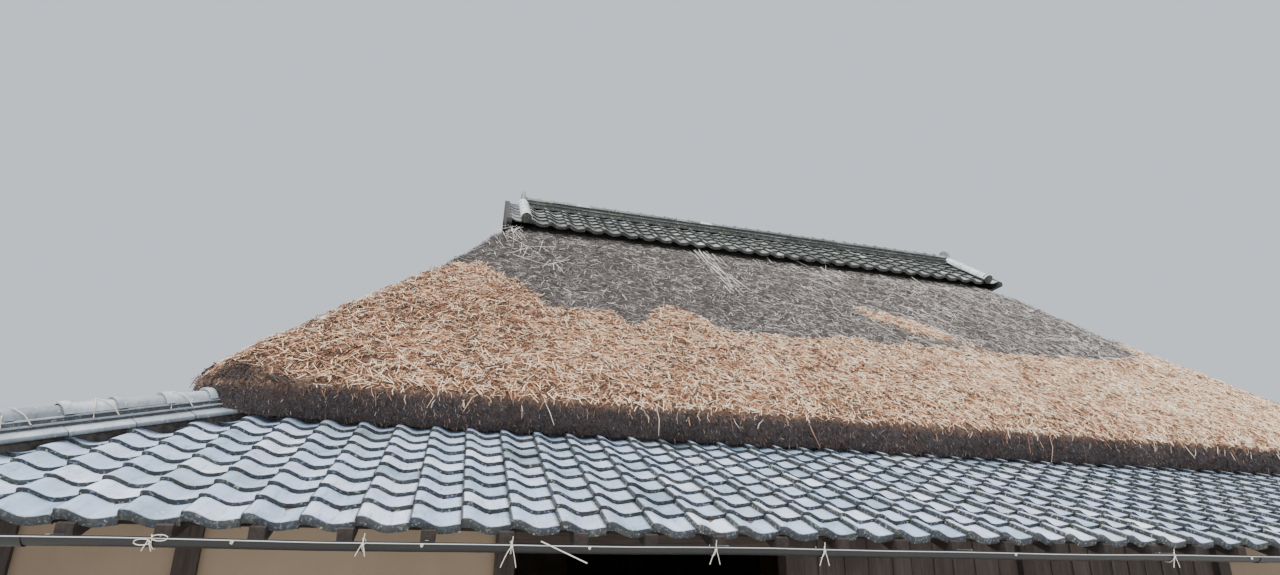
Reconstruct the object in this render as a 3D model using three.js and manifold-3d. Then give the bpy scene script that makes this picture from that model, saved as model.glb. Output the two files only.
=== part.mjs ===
// A minka farmhouse: a hipped thatched roof with a small tiled ridge cap, over a lower tiled
// skirt roof that runs round all four sides, on walls of timber posts, clay plaster and boards.
// Millimetres, +Z up. The front faces -Y, and the origin is on the ground under the middle.
import * as THREE from 'three';
import { mergeVertices } from 'three/addons/utils/BufferGeometryUtils.js';
import Module from 'manifold-3d';

const wasm = await Module();
wasm.setup();

// Clearance between pieces that touch
const GAP = 0.3;

// Skirt roof: eave line, slope and build-up, heights measured plumb
const SKIRT_HALF_LENGTH = 8000;
const SKIRT_HALF_DEPTH = 5950;
const EAVE_HEIGHT = 2100;
const SKIRT_RISE = Math.tan(THREE.MathUtils.degToRad(25));
const TILE_CREST = 35;
const TILE_BED = 40;
const SKIRT_NOSE = 30;
const SKIRT_INNER = 2250;
const RAFTER_DEPTH = 90;
const RAFTER_WIDTH = 75;
const RAFTER_PITCH = 406.5;
const RAFTER_HIP_MARGIN = 110;
const BATTEN = [60, 110];
const BATTEN_DEPTH = 20;
const BATTEN_SINK = 3;

// Hip ridges of the skirt roof
const HIP_HALF_WIDTH = 140;
const HIP_SIDE = 110;
const HIP_TOP = 215;
const HIP_START = 90;
const HIP_END = 1685;

// Walls: centre lines, timber sizes and bays
const WALL_INSET = 990;
const POST = 130;
const SILL = 130;
const PLATE = 160;
const STONE_HEIGHT = 150;
const STONE_WIDTH = 260;
const PLASTER = 70;
const BOARDING = 40;
const END_BAY = 945;
const SIDE_BAY = 1820;
const WIDE_BAY = 2100;
const TIE_THICKNESS = 20;
const TIE_DEPTH = 100;
const TIE_HEIGHTS = [880, 1620];
const LINTEL_DEPTH = 370;
const WINDOW_SILL = 950;
const WINDOW_HEIGHT = 900;
const WINDOW_MARGIN = 170;
const WINDOW_FRAME = 60;
const WINDOW_DEPTH = 90;
const PANE = 24;

// Inner frame that carries the thatch
const INNER_HALF_LENGTH = 5600;
const INNER_HALF_DEPTH = 3400;
const INNER_POST = 150;
const INNER_PLATE_BOTTOM = 2950;
const INNER_PLATE_TOP = 3260;
const MIDDLE_TIE_BOTTOM = 2690;
const MIDDLE_TIE_TOP = 2900;

// Thatch: plan at the eave, run of the front slope, and where the hips reach the ridge
const THATCH_HALF_LENGTH = 6490;
const THATCH_HALF_DEPTH = 4350;
const THATCH_RIDGE_HALF = 3480;
const THATCH_CORNER = 600;
const THATCH_EAVE_TOP = 3140;
const THATCH_EAVE_BOTTOM = 2915;
const THATCH_EAVE_CUT = 120;
const THATCH_FLARE = [800, 3880];
const THATCH_MIDDLE = [2100, 5080];
const THATCH_UNDER_CAP = [3400, 6390];
const THATCH_DEPTH = 600;
const THATCH_STEPS = 12;
const THATCH_END_TOP = 4230;

// Ridge cap
const CAP_HALF_LENGTH = 4100;
const CAP_HALF_DEPTH = 950;
const CAP_EAVE = 6550;
const CAP_RISE = 0.81;
const CAP_BED = 70;
const GABLE_PANEL = 30;
const BARGE = 45;
const BARGE_DEPTH = 300;
const BARGE_LIFT = 25;
const BARGE_REACH = 40;
const GABLE_LIFT = 5;
const RIDGE_HALF_LENGTH = 3870;
const RIDGE_HALF_WIDTH = 150;
const RIDGE_SIDE = 7350;
const RIDGE_TOP = 7415;
const RIDGE_END = 55;
const RIDGE_END_HALF_WIDTH = 165;
const RIDGE_END_TOP = 7505;

// Gutters
const GUTTER_OUT = 80;
const GUTTER_RIM = 1957;
const GUTTER_RADIUS = 55;
const GUTTER_WALL = 4;
const GUTTER_STRAP = 18;
const GUTTER_STRAP_EVERY = 4;
const GUTTER_STRAP_FIRST = 2;

const finish = (color, roughness, metalness = 0) =>
  new THREE.MeshStandardMaterial({ color, roughness, metalness });
const STONE = finish(0x8b8780, 0.9);
const TIMBER = finish(0x4b3c37, 0.75);
const CLAY = finish(0x9a8670, 0.95);
const BOARD = finish(0x54463f, 0.8);
const PAPER = finish(0xd8d2c2, 0.9);
const TILE = finish(0x7e868f, 0.5);
const GUTTER = finish(0x3c3f42, 0.4, 0.3);
const THATCH = finish(0xb98a66, 1.0);

// Solids and joins
const solid = (geometry) => {
  geometry.deleteAttribute('normal');
  geometry.deleteAttribute('uv');
  const merged = mergeVertices(geometry, 1e-3);
  return new wasm.Manifold(new wasm.Mesh({
    numProp: 3,
    vertProperties: new Float32Array(merged.attributes.position.array),
    triVerts: new Uint32Array(merged.index.array),
  }));
};

const join = (first, ...rest) => rest.reduce((sum, next) => sum.add(next), first);

const block = (x0, x1, y0, y1, z0, z1) => {
  const box = new THREE.BoxGeometry(x1 - x0, y1 - y0, z1 - z0);
  box.translate((x0 + x1) / 2, (y0 + y1) / 2, (z0 + z1) / 2);
  return solid(box);
};

const outlineShape = (points) => new THREE.Shape(points.map(([a, b]) => new THREE.Vector2(a, b)));

const extruded = (shape, depth, curveSegments = 8) =>
  new THREE.ExtrudeGeometry(shape, { depth, bevelEnabled: false, curveSegments });

// An outline of (y, z) points, run along X
const AXES_ALONG_X = new THREE.Matrix4().makeBasis(
  new THREE.Vector3(0, 1, 0), new THREE.Vector3(0, 0, 1), new THREE.Vector3(1, 0, 0));
const alongX = (shape, x0, x1) => {
  const geometry = extruded(shape, x1 - x0);
  geometry.applyMatrix4(AXES_ALONG_X);
  geometry.translate(x0, 0, 0);
  return solid(geometry);
};

// A profile of (inward run, height) points on the front, cut off along the hips at both ends
const mitred = (profile, halfDepth, halfLength, hipRatio) => {
  const contour = profile.map(([run, height]) => new THREE.Vector2(run, height));
  if (THREE.ShapeUtils.isClockWise(contour)) contour.reverse();
  const positions = [];
  for (const sign of [-1, 1]) {
    for (const { x: run, y: height } of contour) {
      const along = halfLength - hipRatio * run - GAP / 2;
      positions.push(sign * along, run - halfDepth, height);
    }
  }
  const count = contour.length;
  const index = [];
  for (const [a, b, c] of THREE.ShapeUtils.triangulateShape(contour, [])) {
    index.push(c, b, a, a + count, b + count, c + count);
  }
  for (let i = 0; i < count; i += 1) {
    const next = (i + 1) % count;
    index.push(i, next, next + count, i, next + count, i + count);
  }
  const geometry = new THREE.BufferGeometry();
  geometry.setAttribute('position', new THREE.Float32BufferAttribute(positions, 3));
  geometry.setIndex(index);
  return solid(geometry);
};

const house = new THREE.Group();
const section = () => {
  const group = new THREE.Group();
  house.add(group);
  return group;
};

// Quarter turns that carry a piece drawn for the front to each side
const TURNS = { front: 0, right: 1, back: 2, left: 3 };
const isLongSide = (side) => side === 'front' || side === 'back';

const add = (group, name, manifold, material, turns = 0) => {
  const { vertProperties, triVerts, numProp } = manifold.getMesh();
  const geometry = new THREE.BufferGeometry();
  const positions = new Float32Array((vertProperties.length / numProp) * 3);
  for (let i = 0; i < positions.length / 3; i += 1) {
    positions.set(vertProperties.subarray(i * numProp, i * numProp + 3), i * 3);
  }
  geometry.setAttribute('position', new THREE.BufferAttribute(positions, 3));
  geometry.setIndex(new THREE.BufferAttribute(new Uint32Array(triVerts), 1));
  geometry.computeVertexNormals();
  const mesh = new THREE.Mesh(geometry, material);
  mesh.name = name;
  mesh.rotation.z = (turns * Math.PI) / 2;
  group.add(mesh);
};

// Heights of the skirt roof's layers at a run in from the eave line
const slabTop = (run) => EAVE_HEIGHT - TILE_CREST + SKIRT_RISE * run;
const slabBottom = (run) => slabTop(run) - TILE_BED;
const rafterTop = (run) => slabBottom(run) - GAP;
const rafterBottom = (run) => rafterTop(run) - RAFTER_DEPTH;

const WALL_X = SKIRT_HALF_LENGTH - WALL_INSET;
const WALL_Y = SKIRT_HALF_DEPTH - WALL_INSET;
const WALL_TOP = rafterBottom(WALL_INSET - POST / 2) - GAP;
const SILL_BOTTOM = STONE_HEIGHT + GAP;
const SILL_TOP = SILL_BOTTOM + SILL;
const PLATE_BOTTOM = WALL_TOP - PLATE;

// Post centres along a long wall: end bay, side bay, then four wide bays, and mirrored
const LONG_POSTS = [
  -WALL_X,
  -WALL_X + END_BAY,
  -2 * WIDE_BAY,
  -WIDE_BAY,
  0,
  WIDE_BAY,
  2 * WIDE_BAY,
  WALL_X - END_BAY,
  WALL_X,
];
const DOOR_LEFT = 2;
const DOOR_RIGHT = 3;
const BOARDS_LEFT = 3;
const BOARDS_RIGHT = 5;
const LAST_POST = LONG_POSTS.length - 1;
const SHORT_POSTS = [-2 * SIDE_BAY, -SIDE_BAY, 0, SIDE_BAY, 2 * SIDE_BAY];
const WINDOW_BAY = 1;

// Tie rails pass through the posts and hold the infill of one bay to the next
const tieRails = (x0, x1, wallY, slack = 0) => TIE_HEIGHTS.map((height) => block(
  x0, x1,
  wallY - TIE_THICKNESS / 2 - slack, wallY + TIE_THICKNESS / 2 + slack,
  height - slack, height + TIE_DEPTH + slack));

// One timber frame on the front: sill, posts and plate in one piece, mortised for the tie rails
const timberFrame = (posts, wallY, left, right) => {
  const y0 = wallY - POST / 2;
  const y1 = wallY + POST / 2;
  const sill = block(left, right, y0, y1, SILL_BOTTOM, SILL_TOP);
  const plate = block(left, right, y0, y1, PLATE_BOTTOM, WALL_TOP);
  const uprights = posts.map((x) =>
    block(x - POST / 2, x + POST / 2, y0, y1, SILL_BOTTOM, WALL_TOP));
  const frame = join(sill, plate, ...uprights);
  const inner = posts.slice(1, -1);
  return inner.reduce((rest, x) => tieRails(x - POST, x + POST, wallY, GAP)
    .reduce((cut, rail) => cut.subtract(rail), rest), frame);
};

// Infill between neighbouring posts, one panel a bay, joined by the tie rails
const infill = (edges, wallY, thickness) => {
  const panels = edges.slice(0, -1).map(([, left], i) => block(
    left + GAP, edges[i + 1][0] - GAP,
    wallY - thickness / 2, wallY + thickness / 2,
    SILL_TOP + GAP, PLATE_BOTTOM - GAP));
  if (panels.length === 1) return panels[0];
  const first = edges[0][1] + POST;
  const last = edges[edges.length - 1][0] - POST;
  return join(...panels, ...tieRails(first, last, wallY));
};
const postEdges = (posts) => posts.map((x) => [x - POST / 2, x + POST / 2]);

// Stone base under the walls
const stones = section();
const addStones = (side) => {
  const long = isLongSide(side);
  const halfLength = long ? WALL_X + STONE_WIDTH / 2 : WALL_Y - STONE_WIDTH / 2 - GAP;
  const wallY = long ? -WALL_Y : -WALL_X;
  const strip = block(
    -halfLength, halfLength, wallY - STONE_WIDTH / 2, wallY + STONE_WIDTH / 2, 0, STONE_HEIGHT);
  add(stones, `stone_base_${side}`, strip, STONE, TURNS[side]);
};
Object.keys(TURNS).forEach(addStones);

// Long walls
const walls = section();
const longFrame = (posts) => timberFrame(
  posts, -WALL_Y, posts[0] - POST / 2, posts[posts.length - 1] + POST / 2);
const postsFrom = (first, last) => LONG_POSTS.slice(first, last + 1);
const longInfill = (first, last, thickness) =>
  infill(postEdges(postsFrom(first, last)), -WALL_Y, thickness);

const addFrontWall = () => {
  add(walls, 'front_frame_left', longFrame(postsFrom(0, DOOR_LEFT)), TIMBER);
  add(walls, 'front_frame_right', longFrame(postsFrom(DOOR_RIGHT, LAST_POST)), TIMBER);
  add(walls, 'door_lintel', block(
    LONG_POSTS[DOOR_LEFT] + POST / 2 + GAP, LONG_POSTS[DOOR_RIGHT] - POST / 2 - GAP,
    -WALL_Y - POST / 2, -WALL_Y + POST / 2, WALL_TOP - LINTEL_DEPTH, WALL_TOP), TIMBER);
  add(walls, 'front_plaster_left', longInfill(0, DOOR_LEFT, PLASTER), CLAY);
  add(walls, 'front_board_wall', longInfill(BOARDS_LEFT, BOARDS_RIGHT, BOARDING), BOARD);
  add(walls, 'front_plaster_right', longInfill(BOARDS_RIGHT, LAST_POST, PLASTER), CLAY);
};

const addBackWall = () => {
  const turns = TURNS.back;
  add(walls, 'back_frame', longFrame(LONG_POSTS), TIMBER, turns);
  add(walls, 'back_plaster_left', longInfill(0, BOARDS_LEFT, PLASTER), CLAY, turns);
  add(walls, 'back_board_wall', longInfill(BOARDS_LEFT, BOARDS_RIGHT, BOARDING), BOARD, turns);
  add(walls, 'back_plaster_right', longInfill(BOARDS_RIGHT, LAST_POST, PLASTER), CLAY, turns);
};

// End walls, each with one window
const addEndWall = (side) => {
  const turns = TURNS[side];
  const wallY = -WALL_X;
  const reach = WALL_Y - POST / 2 - GAP;
  const posts = [-reach - POST / 2, ...SHORT_POSTS, reach + POST / 2];
  const frame = timberFrame(posts, wallY, -reach, reach)
    .intersect(block(-reach, reach, wallY - POST, wallY + POST, 0, EAVE_HEIGHT * 2));
  const windowLeft = SHORT_POSTS[WINDOW_BAY] + POST / 2 + WINDOW_MARGIN;
  const windowRight = SHORT_POSTS[WINDOW_BAY + 1] - POST / 2 - WINDOW_MARGIN;
  const windowTop = WINDOW_SILL + WINDOW_HEIGHT;
  const opening = block(
    windowLeft - GAP, windowRight + GAP, wallY - POST, wallY + POST,
    WINDOW_SILL - GAP, windowTop + GAP);
  const plaster = infill(postEdges(posts), wallY, PLASTER).subtract(opening);
  const windowBlock = block(
    windowLeft, windowRight, wallY - WINDOW_DEPTH / 2, wallY + WINDOW_DEPTH / 2,
    WINDOW_SILL, windowTop);
  const clear = (y0, y1) => block(
    windowLeft + WINDOW_FRAME, windowRight - WINDOW_FRAME, y0, y1,
    WINDOW_SILL + WINDOW_FRAME, windowTop - WINDOW_FRAME);
  const sash = windowBlock
    .subtract(clear(wallY - POST, wallY - PANE / 2))
    .subtract(clear(wallY + PANE / 2, wallY + POST));
  add(walls, `${side}_frame`, frame, TIMBER, turns);
  add(walls, `${side}_plaster`, plaster, CLAY, turns);
  add(walls, `${side}_window`, sash, PAPER, turns);
};

addFrontWall();
addBackWall();
['left', 'right'].forEach(addEndWall);

// Inner frame: bents across the house and the plates between them
const inner = section();
const half = INNER_POST / 2;
const innerPosts = (x, top) => [-1, 1].map((sign) => block(
  x - half, x + half,
  sign * INNER_HALF_DEPTH - half, sign * INNER_HALF_DEPTH + half, 0, top));
const tieBeam = (x, z0, z1) => block(
  x - half, x + half, -INNER_HALF_DEPTH, INNER_HALF_DEPTH, z0, z1);

const addInnerFrame = () => {
  for (const [side, sign] of [['left', -1], ['right', 1]]) {
    const x = sign * INNER_HALF_LENGTH;
    const bent = join(
      ...innerPosts(x, INNER_PLATE_TOP), tieBeam(x, INNER_PLATE_BOTTOM, INNER_PLATE_TOP));
    add(inner, `inner_bent_${side}`, bent, TIMBER);
  }
  const middle = join(
    ...innerPosts(0, INNER_PLATE_BOTTOM - GAP), tieBeam(0, MIDDLE_TIE_BOTTOM, MIDDLE_TIE_TOP));
  add(inner, 'inner_bent_middle', middle, TIMBER);
  const reach = INNER_HALF_LENGTH - half - GAP;
  for (const [side, sign] of [['front', -1], ['back', 1]]) {
    const y = sign * INNER_HALF_DEPTH;
    const plate = block(
      -reach, reach, y - half, y + half, INNER_PLATE_BOTTOM, INNER_PLATE_TOP);
    add(inner, `inner_plate_${side}`, plate, TIMBER);
  }
};
addInnerFrame();

// Skirt roof: slopes, rafters with the batten let into their tops, and hip ridges
const skirt = section();
const rafterPlaces = (halfLength) => {
  const count = Math.floor((halfLength - RAFTER_PITCH) / RAFTER_PITCH);
  return Array.from({ length: 2 * count }, (_, i) => (i - count + 0.5) * RAFTER_PITCH);
};

const addSkirtSlope = (side) => {
  const long = isLongSide(side);
  const halfDepth = long ? SKIRT_HALF_DEPTH : SKIRT_HALF_LENGTH;
  const halfLength = long ? SKIRT_HALF_LENGTH : SKIRT_HALF_DEPTH;
  const slab = [
    [-SKIRT_NOSE, slabBottom(-SKIRT_NOSE)],
    [SKIRT_INNER, slabBottom(SKIRT_INNER)],
    [SKIRT_INNER, slabTop(SKIRT_INNER)],
    [-SKIRT_NOSE, slabTop(-SKIRT_NOSE)],
  ];
  add(skirt, `skirt_roof_${side}`, mitred(slab, halfDepth, halfLength, 1), TILE, TURNS[side]);

  const innerFace = long ? INNER_HALF_DEPTH : INNER_HALF_LENGTH;
  const fullRun = halfDepth - innerFace - half - GAP;
  const batten = [
    ...BATTEN.map((run) => [run, rafterTop(run) - BATTEN_SINK - BATTEN_DEPTH]),
    ...BATTEN.map((run) => [run, rafterTop(run) - BATTEN_SINK]).reverse(),
  ];
  const rafter = (x) => {
    const run = Math.min(fullRun, halfLength - Math.abs(x) - RAFTER_HIP_MARGIN);
    return alongX(outlineShape([
      [-halfDepth, rafterBottom(0)],
      [-halfDepth + run, rafterBottom(run)],
      [-halfDepth + run, rafterTop(run)],
      [-halfDepth, rafterTop(0)],
    ]), x - RAFTER_WIDTH / 2, x + RAFTER_WIDTH / 2);
  };
  const comb = join(
    mitred(batten, halfDepth, halfLength, 1), ...rafterPlaces(halfLength).map(rafter));
  add(skirt, `skirt_rafters_${side}`, comb, TIMBER, TURNS[side]);
};
Object.keys(TURNS).forEach(addSkirtSlope);

// A hip ridge sits astride the mitre; its section is measured from the roof surface on the hip
const addHipRidge = (name, signX, signY) => {
  const edge = -HIP_HALF_WIDTH * SKIRT_RISE * Math.SQRT1_2 + GAP * 2;
  const shape = new THREE.Shape();
  shape.moveTo(-HIP_HALF_WIDTH, edge);
  shape.lineTo(0, GAP * 2);
  shape.lineTo(HIP_HALF_WIDTH, edge);
  shape.lineTo(HIP_HALF_WIDTH, HIP_SIDE);
  shape.lineTo(HIP_HALF_WIDTH * 0.5, HIP_SIDE);
  shape.quadraticCurveTo(HIP_HALF_WIDTH * 0.45, HIP_TOP, 0, HIP_TOP);
  shape.quadraticCurveTo(-HIP_HALF_WIDTH * 0.45, HIP_TOP, -HIP_HALF_WIDTH * 0.5, HIP_SIDE);
  shape.lineTo(-HIP_HALF_WIDTH, HIP_SIDE);
  const geometry = extruded(shape, 1, 5);
  const run = HIP_END - HIP_START;
  geometry.applyMatrix4(new THREE.Matrix4().makeBasis(
    new THREE.Vector3(signY * Math.SQRT1_2, -signX * Math.SQRT1_2, 0),
    new THREE.Vector3(0, 0, 1),
    new THREE.Vector3(-signX * run, -signY * run, SKIRT_RISE * run)));
  geometry.translate(
    signX * (SKIRT_HALF_LENGTH - HIP_START),
    signY * (SKIRT_HALF_DEPTH - HIP_START),
    slabTop(HIP_START));
  add(skirt, name, solid(geometry), TILE);
};
addHipRidge('hip_ridge_front_left', -1, -1);
addHipRidge('hip_ridge_front_right', 1, -1);
addHipRidge('hip_ridge_back_left', -1, 1);
addHipRidge('hip_ridge_back_right', 1, 1);

// Gutters: a half-round trough with closed ends and straps back to the rafter ends
const addGutter = (side) => {
  const y = -SKIRT_HALF_DEPTH - GUTTER_OUT;
  const troughShape = new THREE.Shape();
  troughShape.absarc(y, GUTTER_RIM, GUTTER_RADIUS, Math.PI, 2 * Math.PI, false);
  troughShape.absarc(y, GUTTER_RIM, GUTTER_RADIUS - GUTTER_WALL, 2 * Math.PI, Math.PI, true);
  const reach = SKIRT_HALF_LENGTH;
  const endShape = new THREE.Shape();
  endShape.absarc(y, GUTTER_RIM, GUTTER_RADIUS, Math.PI, 2 * Math.PI, false);
  const ends = [-1, 1].map((sign) => alongX(
    endShape, sign * reach - GUTTER_WALL, sign * reach + GUTTER_WALL));
  const straps = rafterPlaces(reach).filter((_, i) => i % GUTTER_STRAP_EVERY === GUTTER_STRAP_FIRST)
    .map((x) => block(
      x - GUTTER_STRAP / 2, x + GUTTER_STRAP / 2,
      y - GUTTER_RADIUS, -SKIRT_HALF_DEPTH - GAP,
      GUTTER_RIM - GUTTER_WALL, GUTTER_RIM + GUTTER_WALL));
  const gutter = join(alongX(troughShape, -reach, reach), ...ends, ...straps);
  add(skirt, `gutter_${side}`, gutter, GUTTER, TURNS[side]);
};
['front', 'back'].forEach(addGutter);

// Thatch
const thatch = section();
const THATCH_HIP = (THATCH_HALF_LENGTH - THATCH_RIDGE_HALF) / THATCH_HALF_DEPTH;
const CAP_UNDER_RIDGE = CAP_EAVE + CAP_RISE * CAP_HALF_DEPTH - TILE_CREST - CAP_BED;
const THATCH_RIDGE = CAP_UNDER_RIDGE - GAP;
const PLATE_SEAT = INNER_PLATE_TOP + GAP;

const roundedPlan = () => {
  const r = THATCH_CORNER;
  const x = THATCH_HALF_LENGTH;
  const y = THATCH_HALF_DEPTH;
  const shape = new THREE.Shape();
  shape.absarc(x - r, y - r, r, 0, Math.PI / 2, false);
  shape.absarc(r - x, y - r, r, Math.PI / 2, Math.PI, false);
  shape.absarc(r - x, r - y, r, Math.PI, 1.5 * Math.PI, false);
  shape.absarc(x - r, r - y, r, 1.5 * Math.PI, 2 * Math.PI, false);
  return solid(extruded(shape, RIDGE_TOP));
};

// Height of the thatch under the cap, at a run in from the eave
const thatchUnderCap = (run) => {
  const [eaveRun, eaveHeight] = THATCH_UNDER_CAP;
  const share = (run - eaveRun) / (THATCH_HALF_DEPTH - eaveRun);
  return eaveHeight + share * (THATCH_RIDGE - eaveHeight);
};

// The outside of the thatch as (run, height) points: one smooth curve up to the cap
const outside = () => {
  const knots = [[0, THATCH_EAVE_TOP], THATCH_FLARE, THATCH_MIDDLE, THATCH_UNDER_CAP];
  const curve = new THREE.SplineCurve(knots.map(([run, z]) => new THREE.Vector2(run, z)));
  return curve.getPoints(THATCH_STEPS).map(({ x, y }) => [x, y]);
};

const addThatch = (side) => {
  const long = isLongSide(side);
  const scale = long ? 1 : THATCH_HIP;
  const halfDepth = long ? THATCH_HALF_DEPTH : THATCH_HALF_LENGTH;
  const halfLength = long ? THATCH_HALF_LENGTH : THATCH_HALF_DEPTH;
  const hipRatio = long ? THATCH_HIP : 1 / THATCH_HIP;
  const innerFace = (long ? INNER_HALF_DEPTH : INNER_HALF_LENGTH) + half;
  const lastRun = long ? THATCH_HALF_DEPTH - GAP / 2 : THATCH_END_TOP;
  const top = [lastRun, thatchUnderCap(lastRun)];
  const under = [top, THATCH_UNDER_CAP, THATCH_MIDDLE].map(([run, z]) => [run, z - THATCH_DEPTH]);
  const profile = [
    ...[[THATCH_EAVE_CUT, THATCH_EAVE_BOTTOM], ...outside(), top, ...under]
      .map(([run, z]) => [run * scale, z]),
    [halfDepth - innerFace, PLATE_SEAT],
  ];
  const slope = mitred(profile, halfDepth, halfLength, hipRatio);
  const plan = long ? roundedPlan() : roundedPlan().rotate([0, 0, 90]);
  add(thatch, `thatch_${side}`, slope.intersect(plan), THATCH, TURNS[side]);
};
Object.keys(TURNS).forEach(addThatch);

// Ridge cap: two tiled slopes, gable boards, the ridge stack and its end tiles
const cap = section();
const capTop = (y) => CAP_EAVE - TILE_CREST + CAP_RISE * (CAP_HALF_DEPTH - Math.abs(y));

const addCap = () => {
  for (const [side, turns] of [['front', 0], ['back', 2]]) {
    const slope = alongX(outlineShape([
      [-CAP_HALF_DEPTH, capTop(CAP_HALF_DEPTH) - CAP_BED],
      [-GAP / 2, capTop(0) - CAP_BED],
      [-GAP / 2, capTop(0)],
      [-CAP_HALF_DEPTH, capTop(CAP_HALF_DEPTH)],
    ]), -CAP_HALF_LENGTH, CAP_HALF_LENGTH);
    add(cap, `cap_roof_${side}`, slope, TILE, turns);
  }

  const reach = CAP_HALF_DEPTH + BARGE_REACH;
  const bargeTop = (y) => capTop(y) + BARGE_LIFT;
  const base = thatchUnderCap((THATCH_HALF_LENGTH - CAP_HALF_LENGTH) / THATCH_HIP) + GABLE_LIFT;
  const notch = (bargeTop(0) - BARGE_DEPTH - base) / CAP_RISE;
  const panel = outlineShape([[-reach, base], [reach, base], [reach, bargeTop(reach)],
    [0, bargeTop(0)], [-reach, bargeTop(reach)]]);
  const barge = outlineShape([[-reach, base], [-notch, base], [0, bargeTop(0) - BARGE_DEPTH],
    [notch, base], [reach, base], [reach, bargeTop(reach)], [0, bargeTop(0)],
    [-reach, bargeTop(reach)]]);
  for (const [side, turns] of [['left', 2], ['right', 0]]) {
    const face = CAP_HALF_LENGTH + GAP;
    const board = join(
      alongX(panel, face, face + GABLE_PANEL),
      alongX(barge, face + GABLE_PANEL / 2, face + GABLE_PANEL + BARGE));
    add(cap, `gable_board_${side}`, board, TIMBER, turns);
  }

  const w = RIDGE_HALF_WIDTH;
  const stackShape = new THREE.Shape();
  stackShape.moveTo(-w, capTop(w) + GAP);
  stackShape.lineTo(0, capTop(0) + GAP);
  stackShape.lineTo(w, capTop(w) + GAP);
  stackShape.lineTo(w, RIDGE_SIDE);
  stackShape.quadraticCurveTo(w * 0.7, RIDGE_TOP, 0, RIDGE_TOP);
  stackShape.quadraticCurveTo(-w * 0.7, RIDGE_TOP, -w, RIDGE_SIDE);
  add(cap, 'ridge_stack', alongX(stackShape, -RIDGE_HALF_LENGTH, RIDGE_HALF_LENGTH), TILE);

  const e = RIDGE_END_HALF_WIDTH;
  const endShape = new THREE.Shape();
  endShape.moveTo(-e, capTop(e) + GAP);
  endShape.lineTo(0, capTop(0) + GAP);
  endShape.lineTo(e, capTop(e) + GAP);
  endShape.lineTo(e, RIDGE_SIDE);
  endShape.quadraticCurveTo(e, RIDGE_END_TOP, 0, RIDGE_END_TOP);
  endShape.quadraticCurveTo(-e, RIDGE_END_TOP, -e, RIDGE_SIDE);
  for (const [side, turns] of [['left', 2], ['right', 0]]) {
    const x0 = RIDGE_HALF_LENGTH + GAP;
    add(cap, `ridge_end_${side}`, alongX(endShape, x0, x0 + RIDGE_END), TILE, turns);
  }
};
addCap();

export default house;
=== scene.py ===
# The looks of a minka farmhouse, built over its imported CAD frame. Metres, +Z up, front to -Y.
import math

import bmesh
import bpy
import numpy as np
from mathutils import Matrix, Vector, noise


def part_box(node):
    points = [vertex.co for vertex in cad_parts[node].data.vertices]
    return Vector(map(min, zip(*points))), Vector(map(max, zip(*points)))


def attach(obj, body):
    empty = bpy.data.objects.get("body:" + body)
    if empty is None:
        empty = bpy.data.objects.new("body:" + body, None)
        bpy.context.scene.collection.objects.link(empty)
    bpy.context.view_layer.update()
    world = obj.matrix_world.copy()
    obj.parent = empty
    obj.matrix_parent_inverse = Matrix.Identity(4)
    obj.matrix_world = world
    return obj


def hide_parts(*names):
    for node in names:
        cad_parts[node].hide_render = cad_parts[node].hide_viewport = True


# Sides, each a number of quarter turns from the front
TURNS = {"front": 0, "right": 1, "back": 2, "left": 3}
LONG_SIDES = ("front", "back")

# Camera, from the vanishing lines and the known tile widths of the photograph
CAMERA_PLACE = (-4.566, -9.814, 1.874)
CAMERA_YAW = 0.2603
CAMERA_PITCH = 0.3024
CAMERA_ROLL = 0.0101
CAMERA_FAR = 400
FOCAL_PIXELS = 683.03
PHOTO_WIDTH = 1280
HORIZON_DROP_PIXELS = 62.5
SENSOR = 36.0

# Floor and light
FLOOR_REACH = 150.0
SKY_COLOR = (0.80, 0.86, 0.95, 1)
SKY_STRENGTH = 0.95
SUN_COLOR = (1.0, 0.97, 0.93)
SUN_STRENGTH = 6.3
SUN_WIDTH = math.radians(55)
SUN_FROM = (-0.3, -0.35, 1.0)

# Skirt roof
SKIRT_HALF_LENGTH = 8.0
SKIRT_HALF_DEPTH = 5.95
SKIRT_SLOPE = math.radians(25)
SKIRT_RISE = math.tan(SKIRT_SLOPE)
SKIRT_NOSE = (0.012, 2.069)
SLAB_TOP_AT_EAVE = 2.065
SKIRT_ROWS = 10
SKIRT_TONES = (0.5, 0.17)
FIRST_CREST_X = -6.34
HIP_CUT_MARGIN = 0.035
DECK_BOTTOM = SLAB_TOP_AT_EAVE - 0.0402
DECK_THICKNESS = 0.003
DECK_START = 0.05
DECK_BOARD = 0.15
DECK_REACH = 2.25

# Pan tile: its S section as (across, height, dirt and painted shade), and its outline along the slope as
# (along, drop, dirt and painted shade, share of the section's height)
TILE_PITCH = 0.265
TILE_EXPOSURE = 0.22
TILE_LENGTH = 0.262
EAVE_LIFT = 0.018
TILE_LIFT = 0.031
ROW_RISE = 0.013
CREST_PLACE = 0.030
# Dark left lip, right edge and noses: partly dirt and moss, partly painted shade in the joints and under
# the noses
TILE_SECTION = (
    (0.000, -0.004, 1), (0.003, 0.023, 1), (0.009, 0.027, 1), (0.016, 0.029, 0),
    (0.035, 0.030, 0), (0.057, 0.0255, 0), (0.083, 0.012, 0), (0.130, -0.012, 0),
    (0.160, -0.018, 0), (0.195, -0.015, 0), (0.246, -0.004, 0), (0.268, 0.000, 1),
)
TILE_OUTLINE = (
    (TILE_LENGTH, 0.0, 0.0, 1.0), (0.007, 0.0, 0.0, 1.0), (0.000, -0.002, 1.0, 1.0),
    (0.000, -0.034, 1.0, 1.0), (TILE_LENGTH, -0.004, 0.6, 1.0),
)
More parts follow.
